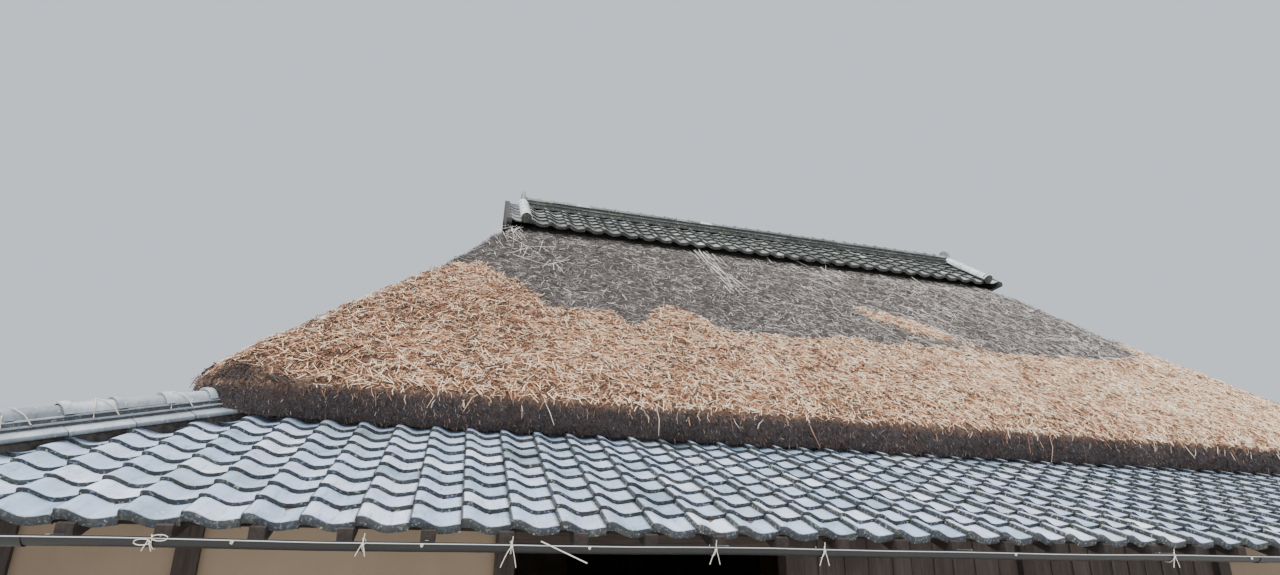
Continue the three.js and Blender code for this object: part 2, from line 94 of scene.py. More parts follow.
EAVE_OUTLINE = (
    (TILE_LENGTH, 0.0, 0.0, 1.0), (0.007, 0.0, 0.0, 1.0), (0.000, -0.004, 0.9, 1.0),
    (-0.002, -0.050, 1.0, 0.8), (0.014, -0.050, 1.0, 0.8), (0.018, -0.016, 0.8, 1.0),
    (TILE_LENGTH, -0.004, 0.6, 1.0),
)

# How unevenly the tiles lie
TILE_SPIN = 0.006
TILE_TIP = 0.004
TILE_SHIFT = 0.0015
TILE_DROP = 0.0012

# Hip ridges of the skirt roof, measured along the ridge
HIP_STRETCH = Vector((1, 1, SKIRT_RISE)).length
HIP_START = 0.09 * HIP_STRETCH
HIP_END = 2.05 * HIP_STRETCH

# A wire over the round tiles, as (lean, across, height) from its foot to the top
HIP_TIE = ((1, 0.098, 0.1), (0.75, 0.0892585, 0.1612906), (0.35, 0.0529007, 0.2060476), (0, 0, 0.225))
HIP_TIE_LEANS = (-0.065, 0.075)

# Half-round tiles of the hips and the ridge
ROUND_TILE_THICKNESS = 0.013
ROUND_TILE_STEPS = 11

# Ridge cap
CAP_HALF_LENGTH = 4.1
CAP_HALF_DEPTH = 0.95
CAP_RISE = 0.81
CAP_SLOPE = math.atan(CAP_RISE)
CAP_NOSE = (0.016, 6.52)
CAP_TOP_AT_EAVE = 6.515
CAP_COLUMNS = 29
CAP_ROWS = 6
CAP_TONES = (0.48, 0.14)
CAP_BED = 0.068
CAP_BOARDS = ((-0.87, -0.67), (-0.665, -0.45), (-0.445, -0.23), (-0.225, -0.004))
CAP_BOARD_THICKNESS = 0.03
VERGE_X = 3.9
VERGE_RADIUS = 0.076
VERGE_BASE = 0.034
VERGE_TILE = (
    (-0.085, -0.02), (-0.05, -0.026), (0.0, -0.022), (0.045, 0.002), (0.075, 0.012),
    (0.080, 0.002), (0.078, -0.07), (0.066, -0.07), (0.064, -0.008),
    (0.045, -0.012), (0.0, -0.036), (-0.05, -0.040), (-0.085, -0.034),
)
RIDGE_HALF_LENGTH = 3.87
RIDGE_END_THICKNESS = 0.055
RIDGE_BOSS_Z = 7.31

# Thatch: plan at the eave, hips, and the outside as (run in from the eave, height)
THATCH_HALF_LENGTH = 6.49
THATCH_HALF_DEPTH = 4.35
THATCH_RIDGE_HALF = 3.48
THATCH_CORNER = 0.25
THATCH_CORNER_REACH = 0.9
THATCH_HIP_RADIUS = 0.10
THATCH_PROFILE = ((0, 3.125), (0.15, 3.30), (0.8, 3.865), (2.1, 5.05), (3.4, 6.345), (4.35, 7.15))
THATCH_CUT = ((0.15, 2.900), (0.10, 2.950), (0.055, 3.010), (0.02, 3.070))
THATCH_BLUNT_REACH = 0.7
THATCH_BLUNT = (1.0, 1.0, 0.05)
CORNER_SHADE = 0.11
CORNER_SHADE_AT = 0.3
CORNER_SHADE_REACH = 0.55
THATCH_DEPTH = 0.6
THATCH_TOP_RUN = 4.2
UNDERSIDE_RUNS = (4.2, 3.4, 2.1)
INNER_SEAT = (0.875, 3.262)
COAT_LEVELS = 46
COAT_LONG = 120
COAT_SHORT = 80
COAT_CORNER = 9

# Unevenness of the coat as (height, waves a metre), how far the new thatch stands out, and
# how it tucks in under the cap: up to this run, over this length, by this depth
SWELL = ((0.024, 1.3), (0.016, 4.0), (0.012, 11.0))
NEW_THATCH_RISE = 0.018
TUCK_RUN = 3.35
TUCK_LENGTH = 0.25
TUCK_DEPTH = 0.03

# Where the new thatch ends, as (x on the front and the back or y on the ends, height)
EDGE_RAGGED = 0.09
EDGE_BLUR = 0.05
NEW_THATCH_EDGE = {
    "front": (
        (-4.96, 5.13), (-4.81, 5.23), (-4.51, 5.30), (-4.26, 5.08), (-4.01, 4.89),
        (-3.83, 4.68), (-3.77, 4.49), (-3.09, 4.50), (-2.87, 4.36), (-2.64, 4.40),
        (-2.48, 4.68), (-2.24, 4.77), (-1.92, 4.60), (-1.85, 4.40), (-1.60, 4.36),
        (-1.07, 4.36), (-0.24, 4.47), (0.11, 4.44), (1.69, 4.48), (2.41, 4.47),
        (3.61, 4.53), (4.79, 4.71), (4.93, 5.16),
    ),
    "right": ((-2.1, 5.16), (-1.6, 4.95), (-0.9, 4.62), (0.2, 4.70), (1.1, 4.55), (2.2, 4.85)),
    "back": (
        (-5.1, 4.85), (-4.2, 4.6), (-3.1, 4.52), (-2.2, 4.78), (-1.4, 4.55), (0.0, 4.48),
        (1.2, 4.62), (2.3, 4.5), (3.4, 4.75), (4.3, 4.6), (5.0, 5.0),
    ),
    "left": ((-2.2, 5.0), (-1.3, 4.62), (-0.2, 4.55), (0.8, 4.8), (1.6, 4.98), (2.1, 5.13)),
}

# The red patch on the old thatch, as (x, z, half width), fading out at its lower end
RED_PATCH = ((0.62, 5.22, 0.07), (1.03, 4.96, 0.14), (1.32, 4.84, 0.17), (1.75, 4.62, 0.05))

# Straws on the slopes: count a square metre, scatter about downhill, lift, length, width, tone
# with its scatter, age, and scatter of the tilt
FRESH_STRAWS = (1900, 1.1, 0.034, (0.05, 0.14), (0.007, 0.0115), (0.53, 0.42), 0.0, 0.12)
AGED_STRAWS = (1150, 1.5, 0.018, (0.05, 0.14), (0.005, 0.009), (0.38, 0.34), 1.0, 0.06)

# Share of the front's straws that each side gets
STRAW_SHARES = {"front": 1.0, "right": 0.36, "back": 0.2, "left": 0.36}

# Straws at the eave: stubs and hanging ones a square metre, and how many of these are long
CUT_STUBS = 3000
EDGE_STRAWS = 190
LONG_EDGE_STRAWS = 0.07

# How much the straws pale with each metre to the right, which is painted light, and how near the ridge
# they end
PAINTED_LIGHT_TO_RIGHT = 0.035
UNDER_CAP = 0.80

# Corners and faces of a straw without a bend
STRAIGHT_CORNERS = 6
STRAIGHT_FACES = 2

# Loose pale straws on the front of the old thatch, as (x, z, spread, count, lean, scatter)
LOOSE_STRAWS = (
    (-4.10, 6.32, 0.08, 12, -0.2, 0.5), (-3.95, 6.02, 0.20, 12, 0.1, 0.4),
    (-3.70, 5.55, 0.26, 14, 0.1, 0.6), (-1.28, 6.25, 0.10, 15, 0.14, 0.10),
    (-1.20, 5.90, 0.10, 14, 0.12, 0.10), (-1.12, 5.50, 0.10, 9, 0.10, 0.14),
    (0.60, 5.95, 0.80, 26, 0.3, 0.5), (2.60, 5.40, 0.80, 30, 0.7, 0.5),
)

# Walls
WALL_X = 7.01
WALL_Y = 4.96
STONE_HEIGHT = 0.15
STONE_WIDTH = 0.26
STONE_JOINT = 0.004
POST = 0.13
WALL_BOTTOM = 0.2806
WALL_TOP = 2.2054
BOARD_BAYS = ((-2.10, 0.0), (0.0, 2.10))
BOARD_WIDTHS = (0.17, 0.24)
BOARD_NARROWEST = 0.12
BOARD_HALF_DEPTH = 0.009
BATTEN_HALF_WIDTH = 0.014
BOARD_RAILS = (0.45, 0.93, 1.67, 2.02)
WINDOW_RIM = 0.055
WINDOW_HALF_DEPTH = 0.044

# Gutters, and strings on the front one: small knots, and ties as (x, lowest end of the tail)
GUTTER_Y = 6.03
GUTTER_RIM = 1.966
GUTTER_RADIUS = 0.047
GUTTER_WALL = 0.003
GUTTER_STEPS = 15
GUTTER_STRAPS = -6.301 + 1.626 * np.arange(9)
GUTTER_JOINTS = (-6.45, -2.4, 1.05, 4.6)
GUTTER_KNOTS = (-5.555, -4.696, -3.838, -1.1, 0.9, 2.9)
GUTTER_TIES = ((-4.975, 1.892), (-4.249, 1.845), (-3.12, 1.87), (-2.443, 1.87), (0.2, 1.88))
GUTTER_BOW = -5.89


# Forms: an array of vertices (x, y, z, tone, wear) and a list of face arrays
# wear is age and dirt, and also painted shade on tiles and ridge courses and a painted highlight on the
# gutter rim
def joined(forms):
    vertices, faces, start = [], {}, 0
    for points, blocks in forms:
        vertices.append(points)
        for block in blocks:
            faces.setdefault(block.shape[1], []).append(block + start)
        start += len(points)
    return np.vstack(vertices), [np.vstack(blocks) for blocks in faces.values()]


def facing_out(form):
    points, blocks = form
    volume = 0.0
    for block in blocks:
        corners = points[block, :3]
        for i in range(1, block.shape[1] - 1):
            turn = np.cross(corners[:, i], corners[:, i + 1])
            volume += np.einsum("ij,ij->", corners[:, 0], turn)
    return form if volume > 0 else (points, [block[:, ::-1] for block in blocks])


def looped_quads(stations, count, closed=False):
    """Quads between rings of points, and from the last ring to the first one if closed."""
    a = np.arange(count)
    b = (a + 1) % count
    rows = np.arange(stations if closed else stations - 1)
    row = rows[:, None] * count
    after = ((rows + 1) % stations)[:, None] * count
    return np.stack([row + a, row + b, after + b, after + a], -1).reshape(-1, 4)


def lofted(loops, tone=0.5, wear=0.0):
    """A closed form through rings of points."""
    loops = np.asarray(loops, float)
    stations, count = loops.shape[:2]
    points = np.empty((stations * count, 5))
    points[:, :3] = loops.reshape(-1, 3)
    points[:, 3] = tone
    points[:, 4] = wear
    ring = np.arange(count)[None]
    ends = [ring[:, ::-1], ring + (stations - 1) * count]
    return facing_out((points, [looped_quads(stations, count), *ends]))


def bar(section, xs, tone=0.5, wear=0.0):
    """A section (y, z) drawn out along X."""
    return lofted([[(x, y, z) for y, z in section] for x in xs], tone, wear)


def wheel(stations, height, steps, tone, wear=0.0):
    """A round form about a level axis at a height, through stations (x, radius)."""
    angles = np.linspace(0, 2 * math.pi, steps, endpoint=False)
    loops = [[(x, r * math.cos(a), height + r * math.sin(a)) for a in angles] for x, r in stations]
    return lofted(loops, tone, wear)


def block(x0, x1, y0, y1, z0, z1, tone=0.5, edge=0.003):
    """A box with its long edges along X eased."""
    e = min(edge, (y1 - y0) / 3, (z1 - z0) / 3)
    ring = [
        (y0 + e, z0), (y1 - e, z0), (y1, z0 + e), (y1, z1 - e),
        (y1 - e, z1), (y0 + e, z1), (y0, z1 - e), (y0, z0 + e),
    ]
    return bar(ring, (x0, x1), tone)


def post(x0, x1, y0, y1, z0, z1, tone=0.5, edge=0.003):
    """A box with its long edges along Z eased."""
    lying = block(z0, z1, y0, y1, x0, x1, tone, edge)
    return moved(lying, axes((0, 0, 0), (0, 0, 1), (0, 1, 0), (1, 0, 0)))


def arc(y, z, radius, start, end, steps, height=None):
    """Points (y, z) along a circle, or an ellipse with its own height; angles in degrees."""
    angles = np.radians(np.linspace(start, end, steps))
    tall = radius if height is None else height
    return [(y + radius * math.cos(a), z + tall * math.sin(a)) for a in angles]


def mirrored(outline):
    """An outline and its mirror image, with a point in the middle taken once."""
    return [*outline, *[(-y, z) for y, z in reversed(outline) if y]]


def unit(vectors):
    return vectors / np.linalg.norm(vectors, axis=-1, keepdims=True)


def tube(path, radius, sides=5):
    path = np.asarray(path, float)
    ahead = unit(np.gradient(path, axis=0))
    across = unit(np.cross(ahead, (0.31, 0.17, 0.93)))
    other = np.cross(ahead, across)
    angles = np.linspace(0, 2 * math.pi, sides, endpoint=False)[:, None]
    ring = np.cos(angles) * across[:, None] + np.sin(angles) * other[:, None]
    return lofted(path[:, None] + radius * ring)


def axes(origin, x_axis, y_axis, z_axis):
    matrix = np.eye(4)
    for column, axis in enumerate((x_axis, y_axis, z_axis, origin)):
        matrix[:3, column] = axis
    return matrix


def moved(form, matrix):
    points, blocks = form
    matrix = np.array(matrix, float)
    places = points[:, :3] @ matrix[:3, :3].T + matrix[:3, 3]
    return np.hstack([places, points[:, 3:]]), blocks


def turned(form, side):
    return moved(form, Matrix.Rotation(TURNS[side] * math.pi / 2, 4, "Z"))


def placed(points, frames):
    """The places of a form's points in each of many frames."""
    return np.einsum("tij,kj->tki", frames[:, :3, :3], points[:, :3]) + frames[:, None, :3, 3]


def copies(form, frames, tones):
    points, blocks = form
    count, size = len(frames), len(points)
    marks = np.broadcast_to(points[:, 3:], (count, size, 2)).copy()
    marks[:, :, 0] = np.asarray(tones)[:, None]
    vertices = np.concatenate([placed(points, frames), marks], -1).reshape(-1, 5)
    step = (np.arange(count) * size)[:, None, None]
    return vertices, [(b[None] + step).reshape(-1, b.shape[1]) for b in blocks]


def cut_behind(form, origin, outward):
    """The part of closed shells that lies behind a plane, closed again."""
    points, blocks = form
    mesh = bmesh.new()
    tone = mesh.verts.layers.float.new("tone")
    wear = mesh.verts.layers.float.new("wear")
    verts = []
    for *place, t, w in points:
        vert = mesh.verts.new(place)
        vert[tone], vert[wear] = t, w
        verts.append(vert)
    for faces in blocks:
        for face in faces:
            mesh.faces.new([verts[i] for i in face])
    everything = mesh.verts[:] + mesh.edges[:] + mesh.faces[:]
    bmesh.ops.bisect_plane(
        mesh, geom=everything, dist=1e-6, plane_co=origin, plane_no=outward, clear_outer=True
    )
    open_edges = [edge for edge in mesh.edges if edge.is_boundary]
    bmesh.ops.holes_fill(mesh, edges=open_edges, sides=0)
    bmesh.ops.triangulate(mesh, faces=mesh.faces[:])
    mesh.verts.index_update()
    rows = np.array([[*v.co, v[tone], v[wear]] for v in mesh.verts]).reshape(-1, 5)
    faces = np.array([[v.index for v in f.verts] for f in mesh.faces], int).reshape(-1, 3)
    mesh.free()
    return rows, [faces]


def added(name, data):
    """A new object in the scene."""
    thing = bpy.data.objects.new(name, data)
    bpy.context.scene.collection.objects.link(thing)
    return thing


def piece(name, form, material, replaces=(), smooth=None):
    """A mesh object on the root body, with its tone and wear kept as attributes."""
    vertices, blocks = form
    mesh = bpy.data.meshes.new(name)
    corners = np.concatenate([b.ravel() for b in blocks]).astype(np.int32)
    sizes = np.concatenate([np.full(len(b), b.shape[1]) for b in blocks])
    starts = np.concatenate([[0], np.cumsum(sizes)[:-1]]).astype(np.int32)
    mesh.vertices.add(len(vertices))
    mesh.vertices.foreach_set("co", vertices[:, :3].astype(np.float32).ravel())
    mesh.loops.add(len(corners))
    mesh.loops.foreach_set("vertex_index", corners)
    mesh.polygons.add(len(sizes))
    mesh.polygons.foreach_set("loop_start", starts)
    for column, key in ((3, "tone"), (4, "wear")):
        layer = mesh.attributes.new(key, "FLOAT", "POINT")
        layer.data.foreach_set("value", vertices[:, column].astype(np.float32))
    mesh.update(calc_edges=True)
    mesh.validate()
    if smooth is None:
        mesh.shade_flat()
    else:
        mesh.shade_smooth()
        mesh.set_sharp_from_angle(angle=math.radians(smooth))
    mesh.materials.append(material)
    thing = added(name, mesh)
    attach(thing, "root")
    if replaces:
        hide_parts(*replaces)


# Colours are given as the bytes of a screen colour
def linear(byte):
    share = byte / 255
    return share / 12.92 if share <= 0.04045 else ((share + 0.055) / 1.055) ** 2.4


def rgb(color):
    return (*map(linear, color), 1.0)


class Paint:
    """A new material, with a short method for each kind of node that is used here."""

    def __init__(self, name):
        self.material = bpy.data.materials.new(name)
        self.material.use_nodes = True
        self.tree = self.material.node_tree
        self.shader = self.tree.nodes["Principled BSDF"]

    def put(self, value, socket):
        if isinstance(value, bpy.types.NodeSocket):
            self.tree.links.new(value, socket)
        else:
            socket.default_value = value

    def node(self, kind, inputs, output=0, **settings):
        made = self.tree.nodes.new("ShaderNode" + kind)
        for key, value in settings.items():
            setattr(made, key, value)
        for key, value in inputs.items():
            self.put(value, made.inputs[key])
        return made.outputs[output]

    def mark(self, name):
        return self.node("Attribute", {}, "Fac", attribute_name=name)

    def grain(self, scale, detail=4.0, roughness=0.55, stretch=(1, 1, 1)):
        place = self.node("TexCoord", {}, "Object")
        place = self.node("Mapping", {"Vector": place, "Scale": stretch})
        return self.node("TexNoise", {"Vector": place, "Scale": scale, "Detail": detail,
                                      "Roughness": roughness}, "Fac")

    def step(self, value, low, high):
        return self.node("MapRange", {"Value": value, "From Min": low, "From Max": high})

    def math(self, operation, first, second, clamp=False):
        return self.node("Math", {0: first, 1: second}, operation=operation, use_clamp=clamp)

    def add(self, first, second):
        return self.math("ADD", first, second)

    def times(self, first, second):
        return self.math("MULTIPLY", first, second)

    def ramp(self, factor, *stops):
        color = self.node("ValToRGB", {"Fac": factor})
        elements = color.node.color_ramp.elements
        while len(elements) < len(stops):
            elements.new(0.5)
        for element, (position, shade) in zip(elements, stops):
            element.position = position
            element.color = rgb(shade)
        return color

    def mix(self, first, second, factor, share=None):
        """Goes from the first colour to the second by a factor, scaled if a share is given."""
        if share is not None:
            factor = self.times(factor, share)
        first, second = (rgb(c) if isinstance(c, tuple) else c for c in (first, second))
        return self.node("Mix", {0: factor, 6: first, 7: second}, 2, data_type="RGBA")

    def done(self, color, roughness, height=None, depth=0.002):
        self.put(color, self.shader.inputs["Base Color"])
        self.put(roughness, self.shader.inputs["Roughness"])
        if height is not None:
            bump = self.node("Bump", {"Height": height, "Distance": depth, "Strength": 0.8})
            self.put(bump, self.shader.inputs["Normal"])
        return self.material


# Materials
def tile_material(name, shades, edge, spread):
    """Smoked tile: four shades from dark to pale, and the edge's for noses and joints: dirt and painted
    shade.
    """
    p = Paint(name)
    shade = p.add(p.times(p.mark("tone"), 0.7), p.times(p.grain(5.0), 0.45))
    color = p.ramp(shade, *zip((0.22, 0.45, 0.62, 0.9), shades))
    wash = p.step(p.grain(1.0, 5.0, 0.7, (9, 5, 5)), 0.48, 0.75)
    color = p.mix(color, shades[0], wash, spread)
    streak = p.step(p.grain(1.0, 3.0, stretch=(55, 6, 6)), 0.55, 0.8)
    color = p.mix(color, edge, streak, 0.5)
    lichen = p.times(p.step(p.grain(1.6, 2.0), 0.5, 0.6), p.step(p.grain(22.0, 6.0), 0.52, 0.66))
    color = p.mix(color, (168, 172, 138), lichen, 0.7)
    spots = p.step(p.grain(34.0, 3.0), 0.67, 0.72)
    color = p.mix(color, (222, 226, 220), spots, 0.8)
    fine = p.grain(60.0)
    # Noses and joints take the edge's colour with moss: partly dirt, partly painted shade
    dirt_and_painted_shade = p.math("MULTIPLY", p.mark("wear"), p.step(fine, 0.1, 0.45), True)
    moss_and_painted_shade = p.mix(edge, (70, 72, 60), p.step(p.grain(18.0), 0.54, 0.66))
    crust = p.step(p.grain(42.0, 5.0), 0.62, 0.68)
    moss_and_painted_shade = p.mix(moss_and_painted_shade, (186, 190, 160), crust, 0.7)
    color = p.mix(color, moss_and_painted_shade, dirt_and_painted_shade)
    return p.done(color, p.step(fine, -0.7, 1.6), fine, 0.0012)


def bed_material():
    p = Paint("clay bed")
    lumps = p.grain(26.0, 5.0)
    color = p.ramp(lumps, (0.35, (54, 51, 48)), (0.65, (92, 87, 80)))
    return p.done(color, 0.95, lumps, 0.004)


def timber_material(name, dark, pale, stretch):
    p = Paint(name)
    lines = p.grain(1.0, 6.0, 0.65, stretch)
    shade = p.add(p.times(lines, 0.8), p.times(p.mark("tone"), 0.25))
    color = p.ramp(shade, (0.3, dark), (0.75, pale))
    color = p.mix(color, dark, p.step(p.grain(2.2), 0.45, 0.8))
    return p.done(color, 0.8, lines)


def plaster_material():
    p = Paint("clay plaster")
    color = p.ramp(p.grain(0.9, 5.0), (0.3, (127, 111, 94)), (0.7, (145, 128, 108)))
    fibres = p.step(p.grain(1.0, 2.0, stretch=(22, 22, 190)), 0.70, 0.76)
    color = p.mix(color, (184, 170, 144), fibres, 0.35)
    stain = p.step(p.grain(1.0, 4.0, stretch=(5, 5, 0.7)), 0.52, 0.75)
    color = p.mix(color, (112, 98, 82), stain, 0.22)
    return p.done(color, 0.95, p.grain(170.0, 3.0), 0.0012)


def stone_material():
    p = Paint("field stone")
    shade = p.add(p.times(p.mark("tone"), 0.4), p.times(p.grain(6.0, 6.0), 0.7))
    color = p.ramp(shade, (0.25, (92, 90, 86)), (0.6, (136, 133, 127)), (0.9, (164, 160, 150)))
    color = p.mix(color, (70, 69, 66), p.step(p.grain(90.0, 2.0), 0.6, 0.7), 0.6)
    color = p.mix(color, (96, 102, 70), p.step(p.grain(3.0, 3.0), 0.58, 0.7), 0.5)
    return p.done(color, 0.9, p.grain(40.0, 8.0), 0.006)


def paper_material():
    p = Paint("window paper")
    fibres = p.grain(1.0, 5.0, stretch=(60, 60, 14))
    color = p.ramp(fibres, (0.35, (206, 199, 180)), (0.65, (226, 221, 206)))
    return p.done(color, 0.9, fibres, 0.0006)


def gutter_material():
    p = Paint("weathered gutter")
    color = p.ramp(p.grain(1.0, 4.0, stretch=(2, 9, 9)), (0.35, (9, 9, 10)), (0.7, (18, 18, 19)))
    # The mark paints a pale highlight on the rim bead, and lightens the straps a little
    color = p.mix(color, (206, 208, 212), p.mark("wear"))
    color = p.mix(color, (110, 108, 98), p.step(p.grain(30.0), 0.62, 0.78), 0.15)
    return p.done(color, 0.5, p.grain(80.0), 0.0006)


def string_material():
    p = Paint("pale string")
    twist = p.grain(220.0)
    color = p.ramp(twist, (0.3, (190, 184, 168)), (0.7, (228, 224, 212)))
    return p.done(color, 0.85, twist, 0.0008)


def coat_material():
    """Packed thatch: tone 1 is the cut face, wear 1 is old thatch."""
    p = Paint("thatch coat")
    strands = p.grain(1.0, 8.0, 0.8, (34, 34, 34))
    # The darker shades of the packed thatch are painted shade: the coat shows in the gaps between the
    # straws
    fresh = p.ramp(strands, (0.32, (58, 40, 32)), (0.5, (128, 95, 74)), (0.7, (222, 186, 154)))
    aged = p.ramp(strands, (0.34, (34, 31, 31)), (0.52, (78, 73, 71)), (0.72, (148, 141, 136)))
    stubs = p.grain(1.0, 6.0, 0.8, (60, 60, 110))
    cut = p.ramp(stubs, (0.35, (52, 48, 48)), (0.55, (86, 78, 76)), (0.72, (128, 116, 110)))
    cut = p.mix(cut, (106, 80, 64), p.step(p.grain(3.0, 4.0, 0.7), 0.45, 0.7), 0.6)
    color = p.mix(p.mix(fresh, aged, p.mark("wear")), cut, p.mark("tone"))
    return p.done(color, 1.0, p.add(strands, p.grain(9.0, 4.0)), 0.04)


def straw_material():
    p = Paint("straw")
    shade = p.mark("tone")
    for grain, depth in ((p.grain(1.3, 3.0), 0.5), (p.grain(70.0, 2.0), 0.4)):
        shade = p.add(shade, p.times(p.math("SUBTRACT", grain, 0.5), depth))
    fresh = p.ramp(shade, (0.0, (34, 21, 16)), (0.28, (124, 83, 61)), (0.5, (208, 150, 109)),
                   (0.75, (252, 218, 178)), (1.0, (255, 244, 222)))
    aged = p.ramp(shade, (0.0, (30, 27, 27)), (0.4, (98, 91, 89)), (0.7, (176, 169, 163)),
                  (1.0, (255, 250, 242)))
    return p.done(p.mix(fresh, aged, p.mark("wear")), 0.8)


def floor_material():
    p = Paint("studio floor")
    return p.done(p.ramp(p.grain(0.4), (0.0, (214, 214, 212)), (1.0, (222, 222, 220))), 0.9)


# Camera, floor and light
def set_camera():
    ahead = np.array([
        math.sin(CAMERA_YAW) * math.cos(CAMERA_PITCH),
        math.cos(CAMERA_YAW) * math.cos(CAMERA_PITCH),
        math.sin(CAMERA_PITCH),
    ])
    level = np.array([math.cos(CAMERA_YAW), -math.sin(CAMERA_YAW), 0.0])
    above = np.cross(level, ahead)
    right = math.cos(CAMERA_ROLL) * level + math.sin(CAMERA_ROLL) * above
    up = math.cos(CAMERA_ROLL) * above - math.sin(CAMERA_ROLL) * level
    data = bpy.data.cameras.new("camera")
    data.sensor_width = SENSOR
    data.lens = FOCAL_PIXELS / PHOTO_WIDTH * SENSOR
    data.shift_y = HORIZON_DROP_PIXELS / PHOTO_WIDTH
    data.clip_end = CAMERA_FAR
    camera = added("camera", data)
    camera.matrix_world = Matrix(axes(CAMERA_PLACE, right, up, -ahead).tolist())
    bpy.context.scene.camera = camera


def set_floor():
    mesh = bpy.data.meshes.new("floor")
    r = FLOOR_REACH
    mesh.from_pydata([(-r, -r, 0), (r, -r, 0), (r, r, 0), (-r, r, 0)], [], [(0, 1, 2, 3)])
    mesh.materials.append(floor_material())
    floor = added("floor", mesh)


def set_light():
    world = bpy.data.worlds.new("sky")
    bpy.context.scene.world = world
    world.use_nodes = True
    background = world.node_tree.nodes["Background"]
    background.inputs["Color"].default_value = SKY_COLOR
    background.inputs["Strength"].default_value = SKY_STRENGTH
    sun = bpy.data.lights.new("sun", "SUN")
    sun.energy = SUN_STRENGTH
    sun.angle = SUN_WIDTH
    sun.color = SUN_COLOR
    lamp = added("sun", sun)
    lamp.rotation_euler = Vector(SUN_FROM).to_track_quat("Z", "Y").to_euler()


# Roof tiles
def pan_tile(outline, lift):
    """One S tile as a closed shell: x across, y up the slope, z off the roof."""
    loops, dirt_and_painted_shade_marks = [], []
    for across, height, dirt_and_painted_shade in TILE_SECTION:
        loop = []
        for along, drop, edge, keep in outline:
            share = min(1.0, max(0.0, along) / TILE_EXPOSURE)
            loop.append((across, along, height * keep + drop - lift * share))
            # Noses and joints are marked dark: dirt, and painted shade
            dirt_and_painted_shade_marks.append(max(edge, dirt_and_painted_shade))
        loops.append(loop)
    return lofted(loops, wear=np.array(dirt_and_painted_shade_marks))


def tile_frames(columns, rows, slope, nose, rng):
    """Places of tiles laid up a slope that faces -Y: left edges, row numbers, nose line (y, z)."""
    frames = []
    for row in rows:
        along = row * TILE_EXPOSURE
        for x in columns:
            spin = rng.normal(0, TILE_SPIN)
            tip = rng.normal(0, TILE_TIP)
            place = (
                x + rng.normal(0, TILE_SHIFT),
                nose[0] + (along + rng.normal(0, TILE_SHIFT)) * math.cos(slope),
                nose[1] + along * math.sin(slope) + rng.normal(0, TILE_DROP),
            )
            turn = Matrix.Translation(place) @ Matrix.Rotation(slope + tip, 4, "X")
            frames.append(np.array(turn @ Matrix.Rotation(spin, 4, "Z")))
    return np.array(frames)


def tile_rows(columns, rows, slope, nose, tones, rng):
    """The eave row and the rows above it, each as a tile, its frames and their tones."""
    kinds = ((pan_tile(EAVE_OUTLINE, EAVE_LIFT), [0], 0.0),
             (pan_tile(TILE_OUTLINE, TILE_LIFT), range(1, rows), ROW_RISE))
    for tile, numbers, rise in kinds:
        frames = tile_frames(columns, numbers, slope, (nose[0], nose[1] + rise), rng)
        yield tile, frames, np.clip(rng.normal(*tones, len(frames)), 0, 1)


def skirt_halves(side):
    """Half the length of the eave on a side, and how far out it lies."""
    halves = (SKIRT_HALF_LENGTH, SKIRT_HALF_DEPTH)
    return halves if side in LONG_SIDES else halves[::-1]


def skirt_tiles(side, rng):
    half_length, half_depth = skirt_halves(side)
    first = (FIRST_CREST_X if side in LONG_SIDES else 0) - CREST_PLACE
    start = math.ceil((-half_length - TILE_PITCH - first) / TILE_PITCH)
    columns = first + TILE_PITCH * np.arange(start, int(2 * half_length / TILE_PITCH) + 2)
    columns = columns[columns < half_length]
    nose = (-half_depth + SKIRT_NOSE[0], SKIRT_NOSE[1])
    whole, crossing = [], []
    rows = tile_rows(columns, SKIRT_ROWS, SKIRT_SLOPE, nose, SKIRT_TONES, rng)
    for tile, frames, tone in rows:
        reach = placed(tile[0], frames)
        inside = half_length - HIP_CUT_MARGIN - np.abs(reach[..., 0]) - (reach[..., 1] + half_depth)
        kept = inside.min(1) > 0
        cut = ~kept & (inside.max(1) > 0)
        whole.append(copies(tile, frames[kept], tone[kept]))
        crossing.append(copies(tile, frames[cut], tone[cut]))
    edges = joined(crossing)
    for sign in (-1, 1):
        origin = (sign * (half_length - HIP_CUT_MARGIN), -half_depth, 0)
        edges = cut_behind(edges, origin, (sign, 1, 0))
    return turned(joined([*whole, edges]), side)


def skirt_deck(side, rng):
    """Boards under the tiles, mitred at the hips."""
    half_length, half_depth = skirt_halves(side)
    boards = []
    for start in np.arange(DECK_START, DECK_REACH, DECK_BOARD):
        end = min(start + DECK_BOARD, DECK_REACH) - 0.004
        corners = ((start, 0), (end, 0), (end, DECK_THICKNESS), (start, DECK_THICKNESS))
        loops = [
            [(sign * (half_length - run - 0.01), run - half_depth, DECK_BOTTOM + SKIRT_RISE * run + up)
             for run, up in corners]
            for sign in (-1, 1)
        ]
        boards.append(lofted(loops, rng.uniform(0.2, 0.8)))
    return turned(joined(boards), side)


# Sections of stacked tiles as (across, height): the hips' from the roof, the ridge's from the ground
HIP_FLAT = mirrored([(0.146, 0.008), (0.150, 0.032), (0.144, 0.040), (0.084, 0.072)])
HIP_LOWER = mirrored([(0.080, 0.055), (0.080, 0.092), (0.096, 0.087), (0.099, 0.095), (0.06, 0.108)])
HIP_UPPER = mirrored([(0.074, 0.098), (0.074, 0.128), (0.089, 0.123), (0.092, 0.131), (0.05, 0.142)])
HIP_CORE = mirrored([(0.098, -0.12), (0.098, 0.0), (0.072, 0.05), (0.06, 0.13)])
HIP_PLATE = mirrored([(0.135, 0.0), (0.1404, 0.06), (0.1161, 0.13), (0.108, 0.196), (0.06075, 0.238),
                      (0.0, 0.246)])
RIDGE_LOWER = mirrored([(0.150, 7.166), (0.150, 7.230), (0.162, 7.234), (0.163, 7.246),
                        (0.10, 7.262)])
